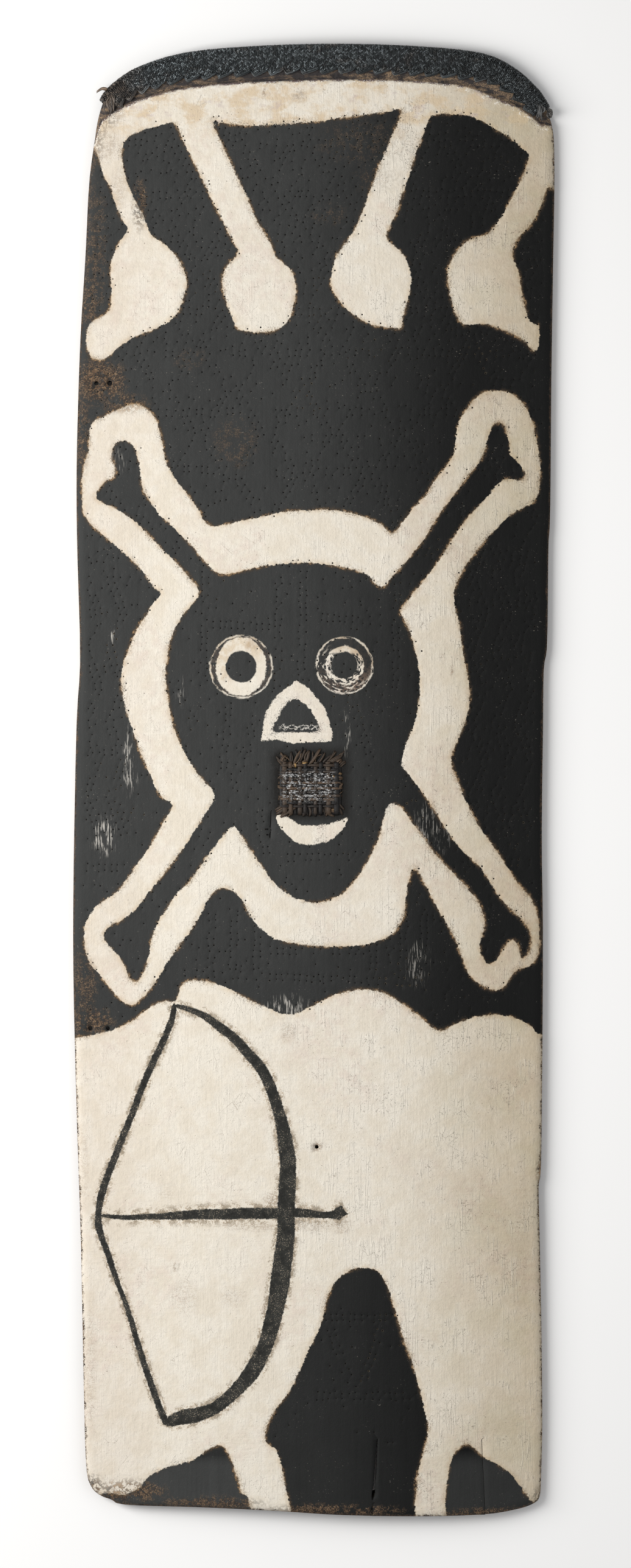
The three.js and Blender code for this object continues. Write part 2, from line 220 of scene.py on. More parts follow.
SCUFFS = [
    (-228, -62, 14, 22, 0.9), (-219, 155, 3, 8, 0.9), (-202, 20, 6, 40, 0.7), (-198, -2, 8, 10, 0.6),
    (36, 50, 3, 28, 0.8), (122, -50, 14, 26, 0.5), (112, -200, 12, 26, 0.5), (-30, -247, 26, 14, 0.8),
    (-144, 95, 3, 18, 0.6), (-215, 345, 12, 16, 0.3), (140, -60, 10, 20, 0.4),
]

# Dirt rubbed into the cream.
GRIME = [
    (3, -398, 7, 7, 1.0), (-42, -456, 15, 10, 0.75), (-62, -484, 42, 6, 0.55), (30, -482, 12, 12, 0.6),
    (2, -484, 30, 7, 0.45), (-151, -529, 3, 6, 0.85), (-159, -447, 12, 12, 0.3), (-28, -274, 10, 13, 0.5),
    (-54, 743, 3, 7, 0.95), (-16, 741, 9, 10, 0.6), (-108, 712, 8, 10, 0.5), (150, 118, 2, 7, 0.95),
    (-88, -560, 16, 12, 0.4), (-140, -560, 18, 22, 0.35), (226, -500, 14, 90, 0.35), (-243, -640, 8, 90, 0.4),
    (-225, 690, 16, 24, 0.5), (-212, 640, 10, 26, 0.45), (-172, -360, 4, 8, 0.3), (-250, -420, 6, 60, 0.4),
]

# ---------------------------------------------------------------------------------------------
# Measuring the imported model
# ---------------------------------------------------------------------------------------------
graph = bpy.context.evaluated_depsgraph_get()
plank_rays = BVHTree.FromObject(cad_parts["plank"], graph)
plank_low, plank_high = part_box("plank")
lashing_low, lashing_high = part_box("grip_lashing")

PLAIN_ROW = 0.3  # a place along Y where nothing is cut into the plank
FAR = 1.5
EDGE_LEVEL = 7.5 * MM  # a height that lies inside the plank's long edges everywhere


def hit(rays, start, direction):
    """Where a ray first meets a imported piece, or None."""
    return rays.ray_cast(Vector(start), Vector(direction))[0]


def face_heights():
    """The plank's front and back heights across its width, measured on the plain row."""
    across = np.linspace(plank_low[0] + 8 * MM, plank_high[0] - 8 * MM, 61)
    front = [hit(plank_rays, (x, PLAIN_ROW, FAR), DOWN).z for x in across]
    back = [hit(plank_rays, (x, PLAIN_ROW, -FAR), UP).z for x in across]
    return across, np.polyfit(across ** 2, front, 1), np.array(back)


ACROSS, CROWN, BACK_HEIGHTS = face_heights()


def front_height(x):
    """The painted face's height at a place across the plank."""
    return np.polyval(CROWN, np.asarray(x) ** 2)


def back_height(x):
    """The back's height at a place across the plank."""
    return np.interp(x, ACROSS, BACK_HEIGHTS)


def ledge_line():
    """Where the front face steps down to the margin that the binding lies on."""
    places = []
    for x in np.linspace(plank_low[0] + 14 * MM, plank_high[0] - 14 * MM, 60):
        for y in np.arange(0.69, 0.775, 0.0005):
            found = hit(plank_rays, (x, y, FAR), DOWN)
            if found is None or found.z < front_height(x) - 1.2 * MM:
                places.append((x, y))
                break
    return np.array(places) / MM


def edge_line(first, last, count, measure):
    """Evenly spaced measures of one edge."""
    return np.array([measure(value) for value in np.linspace(first, last, count)])


def measured_edges(columns, rows):
    """The plank's four edges as evenly spaced points, from the bottom left corner."""
    points = np.array([v.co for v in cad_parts["plank"].data.vertices])[:, :2]
    corner = {}
    for name, lean in {"bl": (-1, -1), "br": (1, -1), "tl": (-1, 1), "tr": (1, 1)}.items():
        corner[name] = points[np.argmax(points @ np.array(lean))]

    def side_at(y, sign):
        return hit(plank_rays, (sign * FAR, y, EDGE_LEVEL), (-sign, 0, 0)).x, y

    def end_at(x, sign):
        level = (front_height(x) + back_height(x)) / 2
        return x, hit(plank_rays, (x, sign * FAR, level), (0, -sign, 0)).y

    left = edge_line(corner["bl"][1], corner["tl"][1], rows + 1, lambda y: side_at(y, -1))
    right = edge_line(corner["br"][1], corner["tr"][1], rows + 1, lambda y: side_at(y, 1))
    bottom = edge_line(corner["bl"][0], corner["br"][0], columns + 1, lambda x: end_at(x, -1))
    top = edge_line(corner["tl"][0], corner["tr"][0], columns + 1, lambda x: end_at(x, 1))
    left[0], left[-1] = corner["bl"], corner["tl"]
    right[0], right[-1] = corner["br"], corner["tr"]
    bottom[0], bottom[-1] = corner["bl"], corner["br"]
    top[0], top[-1] = corner["tl"], corner["tr"]
    return left, right, bottom, top


def spread_grid(columns, rows):
    """A grid of places, in metres, that fills the plank's outline from edge to edge."""
    left, right, bottom, top = measured_edges(columns, rows)
    u = np.linspace(0, 1, columns + 1)[None, :, None]
    v = np.linspace(0, 1, rows + 1)[:, None, None]
    ends = (1 - v) * bottom[None] + v * top[None]
    sides = (1 - u) * left[:, None] + u * right[:, None]
    corners = (1 - u) * ((1 - v) * bottom[0] + v * top[0]) + u * ((1 - v) * bottom[-1] + v * top[-1])
    return (ends + sides - corners).reshape(-1, 2)


# ---------------------------------------------------------------------------------------------
# Distances to the painter's outlines
# ---------------------------------------------------------------------------------------------
REACH = 28.0  # how far from a line a distance is worked out, in mm


def smooth_line(points, closed=False, steps=4):
    """A smooth line through given points, with whatever widths they carry."""
    points = np.array(points, float)
    if closed:
        before, after, beyond = np.roll(points, 1, 0), np.roll(points, -1, 0), np.roll(points, -2, 0)
        start = points
    else:
        padded = np.vstack([2 * points[0] - points[1], points, 2 * points[-1] - points[-2]])
        before, start, after, beyond = padded[:-3], padded[1:-2], padded[2:-1], padded[3:]
    line = []
    for t in np.arange(steps) / steps:
        line.append(0.5 * (2 * start + (after - before) * t
                           + (2 * before - 5 * start + 4 * after - beyond) * t ** 2
                           + (3 * start - before - 3 * after + beyond) * t ** 3))
    line = np.stack(line, 1).reshape(-1, points.shape[1])
    return np.vstack([line, points[:1] if closed else points[-1:]])


def nearest_on(places, line):
    """For each place: distance to the line, the side it lies on, and how far along the nearest point is."""
    distance = np.full(len(places), REACH)
    side = np.ones(len(places))
    along = np.zeros(len(places))
    by_height = np.argsort(places[:, 1], kind="stable")
    sorted_y = places[by_height, 1]
    for number, (start, end) in enumerate(zip(line[:-1, :2], line[1:, :2])):
        span = end - start
        middle = (start + end) / 2
        half = REACH + np.hypot(*span) / 2
        low, high = np.searchsorted(sorted_y, (middle[1] - half, middle[1] + half))
        near = by_height[low:high]
        near = near[np.abs(places[near, 0] - middle[0]) < half]
        if not len(near) or not span.any():
            continue
        offset = places[near] - start
        share = np.clip(offset @ span / (span @ span), 0, 1)
        gap = np.hypot(*(offset - share[:, None] * span).T)
        closer = gap < distance[near]
        chosen = near[closer]
        distance[chosen] = gap[closer]
        side[chosen] = np.where(span[0] * offset[closer, 1] > span[1] * offset[closer, 0], 1, -1)
        along[chosen] = number + share[closer]
    return distance, side, along


def depth_in(places, outline):
    """Signed distance to an outline in mm: positive inside it."""
    line = smooth_line(outline, closed=True)
    odd = np.zeros(len(places), bool)
    by_height = np.argsort(places[:, 1], kind="stable")
    sorted_y = places[by_height, 1]
    for (ax, ay), (bx, by) in zip(line[:-1], line[1:]):
        low, high = np.searchsorted(sorted_y, sorted((ay, by)))
        level = by_height[low:high]
        if len(level):
            odd[level] ^= places[level, 0] < ax + (places[level, 1] - ay) * (bx - ax) / (by - ay)
    distance = nearest_on(places, line)[0]
    return np.where(odd, distance, -distance)


def charcoal_line(places, points):
    """(signed offset, half width, distance along) of each place from a drawn line, in mm."""
    line = smooth_line(points)
    distance, side, along = nearest_on(places, line)
    lengths = np.concatenate([[0], np.cumsum(np.hypot(*np.diff(line[:, :2], axis=0).T))])
    number = np.arange(len(line))
    width = np.interp(along, number, line[:, 2]) + 0.8
    run = np.interp(along, number, lengths)
    past_end = (along <= 1e-6) | (along >= len(line) - 1 - 1e-6)
    width = np.where(past_end, width - distance * 1.2, width)
    return np.stack([distance * side, width, run], 1)


def blobs(places, list_of_blobs):
    """A soft mask from a list of oval places."""
    mask = np.zeros(len(places))
    for x, y, reach_x, reach_y, strength in list_of_blobs:
        away = ((places[:, 0] - x) / reach_x) ** 2 + ((places[:, 1] - y) / reach_y) ** 2
        mask = np.maximum(mask, strength * np.clip(1.25 - away, 0, 1))
    return mask


def cream_depth(places):
    """How deep each place lies in the cream paint, in mm: negative on the black."""
    halo = np.minimum(depth_in(places, HALO), -depth_in(places, SKULL_AND_BONES))
    nose = np.minimum(depth_in(places, NOSE), -depth_in(places, NOSTRIL))
    field = depth_in(places, CREAM_FIELD)
    for figure in (BLACK_FIGURE, BLACK_LEFT_TRIANGLE, BLACK_RIGHT_TRIANGLE):
        field = np.minimum(field, -depth_in(places, figure))
    parts = [depth_in(places, CREAM_TOP), halo, nose, depth_in(places, SMILE), field]
    return np.max(parts, axis=0)


# ---------------------------------------------------------------------------------------------
# The plank
# ---------------------------------------------------------------------------------------------
COLUMNS, ROWS = 152, 464  # cells of the front face, about 3.4 mm
BACK_COLUMNS, BACK_ROWS = 110, 120
PAINT_THICKNESS = 0.45
PIT_REACH = 1.0
PIT_DEPTH = 1.5 * MM
# Through holes: x, y, radius
TIE_HOLES = [(-236, 430, 2.4), (-221.5, 430, 3.0), (-242.5, -270, 2.6), (-223.5, -270, 2.2), (3, -398, 2.2)]
# The crack that has opened right through: y, middle x, half width
CRACK = np.array([(-781, 63.4, 0.6), (-777, 64.1, 1.8), (-771, 64.6, 1.5), (-764, 65.2, 0.6),
                  (-752, 66.3, 1.0), (-735, 67.4, 0.8), (-714, 68.6, 0.3)])
# Shallow splits that don't go through: x, y from top to bottom, depth
SPLITS = [
    ((64, -782), (62.5, -796), 1.4),
    ((181.5, -714), (185.5, -797), 0.5),
    ((-46.5, -34), (-47.5, -60), 2.2),
]


def zigzag(x, low, high, swing, period, step=6.8):
    """Punch marks up a zigzag, in two rows."""
    for y in np.arange(low, high, step):
        lean = abs(((y - low) / period) % 2 - 1) * 2 - 1
        yield x + swing * lean - 3.3, y
        yield x + swing * lean + 3.3, y + 1.5


def double_row(start, end, step=6.6, gap=6.4):
    """Punch marks along a straight double row."""
    start, end = np.array(start, float), np.array(end, float)
    length = np.hypot(*(end - start))
    across = np.array([start[1] - end[1], end[0] - start[0]]) / length * gap / 2
    for share in np.arange(0, 1, step / length):
        middle = start + (end - start) * share
        yield tuple(middle + across)
        yield tuple(middle - across)


def punch_marks(luck):
    """The maker's punched pattern: zigzags and diamonds between double rows."""
    marks = []
    for number in range(-6, 7):
        x = number * 37 + 4
        swing = 14 if number % 2 else -14
        marks += zigzag(x, 236, 728, swing, 46)
    for y in (690, 634, 580, 508, 462, 398, 336):
        tilt = luck.uniform(-8, 8)
        marks += double_row((-200, y - tilt), (-70, y + tilt))
        marks += double_row((-40, y + tilt), (80, y))
        marks += double_row((105, y), (228, y + tilt))
    for x in (-40, -14, 88, -120):
        marks += double_row((x, 100), (x + 3, 232))
    marks += double_row((-122, 168), (-48, 166))
    marks += double_row((-48, 168), (-30, 206))
    marks += double_row((8, 176), (62, 172))
    marks += double_row((-150, 96), (-128, 60))
    marks += double_row((-92, 84), (-98, 8))
    marks += double_row((-62, 66), (-92, -14))
    marks += double_row((40, 92), (62, 20))
    marks += double_row((-60, -34), (-50, -90))
    marks += double_row((-28, -84), (40, -84))
    marks += double_row((56, -10), (70, -60))
    for x in (-240, -214, 178, 204, 228):
        marks += zigzag(x, -60, 250, 8, 40)
    for y in (186, 120, 30, -40, -96):
        marks += double_row((-246, y), (-206, y))
        marks += double_row((168, y + 6), (244, y + 6))
    for x in (-112, -88, -62, 64, 96, 118):
        marks += double_row((x, -206), (x + 2, -142))
    marks += double_row((-46, -186), (88, -186))
    marks += double_row((-140, -210), (120, -220))
    marks += double_row((12, -583), (92, -583))
    marks += double_row((4, -668), (112, -668))
    marks += double_row((16, -590), (40, -656))
    marks += double_row((74, -590), (52, -656))
    for low, high, count in ((470, 728, 1700), (-270, 470, 1500), (-720, -560, 120)):
        for _ in range(count):
            marks.append((luck.uniform(-250, 250), luck.uniform(low, high)))
    return [(x + luck.gauss(0, 0.8), y + luck.gauss(0, 0.8)) for x, y in marks]


def border_marks(luck):
    """Punch marks that follow the borders of the figures."""
    marks = []
    for outline, low, high in ((CREAM_TOP, 485, 715), (HALO, -240, 400), (SKULL_AND_BONES, -200, 360)):
        line = smooth_line(outline, closed=True, steps=3)
        for x, y in line[::2]:
            if low < y < high and luck.random() < 0.55:
                marks.append((x + luck.uniform(-4, 4), y + luck.uniform(-4, 4)))
    return marks


def settle_marks(places, cream, rim, luck):
    """Moves grid points so that each punch mark has a small cell of its own, and returns those cells."""
    grid = places.reshape(ROWS + 1, COLUMNS + 1, 2)
    centres = (grid[:-1, :-1] + grid[1:, 1:] + grid[:-1, 1:] + grid[1:, :-1]) / 4
    low = centres[0, 0]
    step_x, step_y = (centres[-1, -1] - low) / (COLUMNS - 1, ROWS - 1)
    taken = np.zeros((ROWS + 1, COLUMNS + 1), bool)
    cells = []
    for x, y in punch_marks(luck) + border_marks(luck):
        row = int(np.clip((y - low[1]) / step_y, 0, ROWS - 1))
        rows = slice(max(row - 16, 0), min(row + 17, ROWS))
        column = int(np.clip((x - low[0]) / step_x, 0, COLUMNS - 1))
        columns = slice(max(column - 8, 0), min(column + 9, COLUMNS))
        away = np.abs(centres[rows, columns] - (x, y)).sum(-1)
        at_row, at_column = np.unravel_index(np.argmin(away), away.shape)
        i, j = columns.start + at_column, rows.start + at_row
        if away[at_row, at_column] > 6 or i < 3 or i > COLUMNS - 4 or j < 3 or j > ROWS - 4:
            continue
        corners = [(j, i), (j, i + 1), (j + 1, i + 1), (j + 1, i)]
        spot = j * (COLUMNS + 1) + i
        if cream[spot] > luck.choice((0.5, 0.5, 2.5, 4.5)) or rim[spot] < 7:
            continue
        if any(taken[corner] for corner in corners):
            continue
        if any(np.hypot(x - hx, y - hy) < 9 for hx, hy, _ in TIE_HOLES):
            continue
        if abs(x + 4) < 40 and -44 < y < 34:
            continue
        turn = luck.uniform(-0.4, 0.4)
        reach = PIT_REACH * luck.uniform(0.8, 1.15)
        for number, corner in enumerate(corners):
            angle = turn + math.radians(225 + 90 * number)
            grid[corner] = (x + reach * 1.35 * math.cos(angle), y + reach * 1.35 * math.sin(angle))
            taken[corner] = True
        cells.append(j * COLUMNS + i)
    return cells


def snap_hole(grid, x, y, radius):
    """Sets the eight points round the nearest one on a circle, and returns that nearest point's number."""
    rows, columns = grid.shape[:2]
    away = np.hypot(*(grid - (x, y)).transpose(2, 0, 1))
    j, i = np.unravel_index(np.argmin(away), (rows, columns))
    for dj in (-1, 0, 1):
        for di in (-1, 0, 1):
            if di or dj:
                length = math.hypot(di, dj)
                grid[j + dj, i + di] = (x + radius * di / length, y + radius * dj / length)
    grid[j, i] = (x, y)
    return j * columns + i


def snap_crack(grid):
    """Sets two columns of points on the crack's sides, and returns the cells between them."""
    rows, columns = grid.shape[:2]
    middle = grid[:, :, 1]
    column = int(np.argmin(np.abs(grid[20, :, 0] - 66)))
    column -= int(grid[20, column, 0] > 66)
    inside = [j for j in range(rows) if CRACK[0, 0] - 2 < middle[j, column] < CRACK[-1, 0] + 2]
    for j in inside:
        y = np.clip(middle[j, column], CRACK[0, 0], CRACK[-1, 0])
        x = np.interp(y, CRACK[:, 0], CRACK[:, 1])
        half = np.interp(y, CRACK[:, 0], CRACK[:, 2])
        grid[j, column] = (x - half, y)
        grid[j, column + 1] = (x + half, y)
    return [j * (columns - 1) + column for j in inside[:-1]]


def cut_splits(grid, heights):
    """Pulls a column of points into each split and lowers it."""
    for (x0, y0), (x1, y1), depth in SPLITS:
        line_y = grid[:, :, 1]
        column = int(np.argmin(np.abs(grid[int(len(grid) * 0.5), :, 0] - (x0 + x1) / 2)))
        for j in range(len(grid)):
            y = line_y[j, column]
            if y1 - 3 < y < y0:
                x = x0 + (x1 - x0) * (y0 - y) / (y0 - y1)
                grid[j, column] = (x, y)
                grid[j, column - 1, 0] = x - 0.5 - 0.4 * depth
                grid[j, column + 1, 0] = x + 0.5 + 0.4 * depth
                fade = min(1.0, (y0 - y) / 8)
                heights[j, column] -= depth * fade * MM


def waviness(places, seed):
    """Gentle unevenness of a hand-adzed face, in mm, about -1 to 1."""
    x, y = places[:, 0] + seed * 37, places[:, 1] - seed * 91
    slow = np.sin(x / 41 + 1.3 * np.sin(y / 130)) * np.cos(y / 97 + 0.8 * np.sin(x / 60))
    quick = np.sin(x / 17 + np.sin(y / 40)) * np.sin(y / 55 + 1.1 * np.sin(x / 23))
    return 0.65 * slow + 0.35 * quick


LAYERS = ("cream", "rim", "ledge", "pit", "worn", "scuff", "grime", "back")
VECTOR_LAYERS = ("bow", "string", "arrow")


def write_points(bm, verts, places, heights, layers):
    """Puts grid points in place and writes what the finish needs to know about each."""
    for name, values in layers.items():
        group = bm.verts.layers.float_vector if values.ndim > 1 else bm.verts.layers.float
        layer = group[name]
        if values.ndim > 1:
            for vert, value in zip(verts, values):
                vert[layer] = Vector(value)
        else:
            for vert, value in zip(verts, values.tolist()):
                vert[layer] = value
    for vert, (x, y), z in zip(verts, places.tolist(), heights.tolist()):
        vert.co = (x * MM, y * MM, z)


def ring_edges(verts):
    """Open edges whose two ends are both in a set of points."""
    verts = set(verts)
    return [
        e for v in verts for e in v.link_edges
        if e.is_boundary and v == e.verts[0] and e.verts[1] in verts
    ]


def outer_ring(verts, columns, rows):
    """The points round the outside of a grid, in order."""
    def at(i, j):
        return verts[j * (columns + 1) + i]
    ring = [at(i, 0) for i in range(columns)]
    ring += [at(columns, j) for j in range(rows)]
    ring += [at(i, rows) for i in range(columns, 0, -1)]
    ring += [at(0, j) for j in range(rows, 0, -1)]
    return ring


def hole_ring(verts, number, columns):
    """The eight points round a grid point."""
    return [verts[number + dj * (columns + 1) + di] for dj in (-1, 0, 1) for di in (-1, 0, 1) if di or dj]


def rebate_depth(ledge, depth):
    """How far the margin under the binding is cut down, for a distance past the ledge in mm."""
    share = np.clip((ledge + 1.2) / 3.4, 0, 1)
    return depth * share * share * (3 - 2 * share)


def make_plank():
    """The plank: carved face, worn edges, tie holes, crack and plainer back, as one closed skin."""
    luck = random.Random(11)
    bm = bmesh.new()
    for name in LAYERS:
        bm.verts.layers.float.new(name)
    for name in VECTOR_LAYERS:
        bm.verts.layers.float_vector.new(name)
    ledge_places = ledge_line()

    # Front face
    bmesh.ops.create_grid(bm, x_segments=COLUMNS, y_segments=ROWS, size=1)
    bm.verts.ensure_lookup_table()
    bm.faces.ensure_lookup_table()
    front = list(bm.verts)
    places = spread_grid(COLUMNS, ROWS) / MM
    ring_numbers = [v.index for v in outer_ring(front, COLUMNS, ROWS)]
    outline = places[ring_numbers + ring_numbers[:1]].copy()
    rim = nearest_on(places, outline)[0]
    cells = settle_marks(places, cream_depth(places), rim, luck)
    grid = places.reshape(ROWS + 1, COLUMNS + 1, 2)
    crack_cells = snap_crack(grid)
    hole_numbers = [snap_hole(grid, *hole) for hole in TIE_HOLES]
    split_drop = np.zeros(grid.shape[:2])
    cut_splits(grid, split_drop)

    cream = cream_depth(places)
    rim = nearest_on(places, outline)[0]
    ledge = places[:, 1] - np.interp(places[:, 0], ledge_places[:, 0], ledge_places[:, 1])
    ledge *= np.where(np.abs(places[:, 0]) > 180, 0.75, 0.97)
    cream = np.minimum(cream, -ledge + 1.0)
    cream_share = np.clip(cream / 2.5 + 0.5, 0, 1)
    heights = front_height(places[:, 0] * MM) + split_drop.ravel()
    heights += (0.42 * waviness(places, 1) + PAINT_THICKNESS * cream_share) * MM
    heights -= 2.6 * MM * np.clip(1 - rim / 7.5, 0, 1) ** 2
    heights -= rebate_depth(ledge, 2.5) * MM
    none = np.zeros(len(places))
    layers = {
        "cream": cream, "rim": rim, "ledge": ledge, "back": none,
        # Splits are marked as pits, so they take the pits' painted shade.
        "pit": np.where(split_drop.ravel() < 0, 1.0, 0.0),
        "worn": blobs(places, WORN_PLACES), "scuff": blobs(places, SCUFFS),
        "grime": blobs(places, GRIME),
        "bow": charcoal_line(places, BOW_STAVE), "string": charcoal_line(places, BOW_STRING),
        "arrow": charcoal_line(places, ARROW),
    }
    write_points(bm, front, places, heights, layers)
    pit_layer = bm.verts.layers.float["pit"]
    rim_layer = bm.verts.layers.float["rim"]
    pit_faces = [bm.faces[cell] for cell in cells]
    crack_faces = [bm.faces[cell] for cell in crack_cells]
    for face in pit_faces:
        for vert in face.verts:
            vert[pit_layer] = 0.5
    front_ring = outer_ring(front, COLUMNS, ROWS)
    hole_rings = [hole_ring(front, number, COLUMNS) for number in hole_numbers]
    crack_ring = {v for face in crack_faces for v in face.verts}
    poked = bmesh.ops.poke(bm, faces=pit_faces, offset=0, center_mode="MEAN")
    for vert in poked["verts"]:
        vert[pit_layer] = 1.0
        vert.co.z -= PIT_DEPTH * luck.uniform(0.75, 1.2)
    bmesh.ops.delete(bm, geom=[front[number] for number in hole_numbers], context="VERTS")
    bmesh.ops.delete(bm, geom=crack_faces, context="FACES")

    # Long and short edges, in three turns of the wood
    ring = front_ring
    for level, inset in ((0.55, -0.35), (0.14, 0.0)):
        made = bmesh.ops.extrude_edge_only(bm, edges=ring_edges(ring))
        ring = [part for part in made["geom"] if isinstance(part, bmesh.types.BMVert)]
        for vert in ring:
            top = float(front_height(vert.co.x)) - 2.6 * MM
            low = float(back_height(vert.co.x)) + (5.0 * MM if vert.co.y > 0.7 else 0.0)
            vert.co.z = low + (top - low) * level
            vert.co.z -= 2.5 * MM * level if vert.co.y > 0.7 else 0.0
            outwards = Vector((vert.co.x, vert.co.y * 0.02, 0)).normalized()
            vert.co += outwards * inset * MM * luck.uniform(0.3, 1.0)
            vert[rim_layer] = -6 + 6 * level
    side_ring = ring

    # Back face, plainer and coarser, with the same holes
    made = bmesh.ops.create_grid(bm, x_segments=BACK_COLUMNS, y_segments=BACK_ROWS, size=1)
    back = made["verts"]
    back_set = set(back)
    back_faces = [f for f in bm.faces if f.verts[0] in back_set]
    places = spread_grid(BACK_COLUMNS, BACK_ROWS) / MM
    back_grid = places.reshape(BACK_ROWS + 1, BACK_COLUMNS + 1, 2)
    back_crack = snap_crack(back_grid)
    back_holes = [snap_hole(back_grid, *hole) for hole in TIE_HOLES]
    ledge = places[:, 1] - np.interp(places[:, 0], ledge_places[:, 0], ledge_places[:, 1])
    rim = nearest_on(places, outline)[0]
    heights = back_height(places[:, 0] * MM)
    waves = waviness(places, 5)
    heights += np.where(heights > 0.5 * MM, 0.8 * waves, 0.12 + 0.1 * waves) * MM
    heights += rebate_depth(ledge, 5.0) * MM
    heights = np.maximum(heights + 0.8 * MM * np.clip(1 - rim / 5, 0, 1), 0.02 * MM)
    none = np.zeros(len(places))
    layers = {"cream": none - REACH, "rim": none - 12, "ledge": ledge, "back": none + 1, "pit": none}
    write_points(bm, back, places, heights, layers)
    bmesh.ops.reverse_faces(bm, faces=back_faces)
    back_ring = outer_ring(back, BACK_COLUMNS, BACK_ROWS)
    back_hole_rings = [hole_ring(back, number, BACK_COLUMNS) for number in back_holes]
    back_crack_faces = [back_faces[cell] for cell in back_crack]
    back_crack_ring = {v for face in back_crack_faces for v in face.verts}
    bmesh.ops.delete(bm, geom=[back[number] for number in back_holes], context="VERTS")
    bmesh.ops.delete(bm, geom=back_crack_faces, context="FACES")
    bmesh.ops.bridge_loops(bm, edges=ring_edges(side_ring) + ring_edges(back_ring))
    bmesh.ops.bridge_loops(bm, edges=ring_edges(crack_ring) + ring_edges(back_crack_ring))
    for above, below in zip(hole_rings, back_hole_rings):
        bmesh.ops.bridge_loops(bm, edges=ring_edges(above) + ring_edges(below))
    bmesh.ops.recalc_face_normals(bm, faces=bm.faces[:])
    return finish_mesh(bm, "painted_plank")


def finish_mesh(bm, name, smooth=True):
    """Turns a bmesh into an object in the scene."""
    mesh = bpy.data.meshes.new(name)
    bm.to_mesh(mesh)
    bm.free()
    if smooth:
        mesh.shade_smooth()
    piece = bpy.data.objects.new(name, mesh)
    bpy.context.scene.collection.objects.link(piece)
    return piece


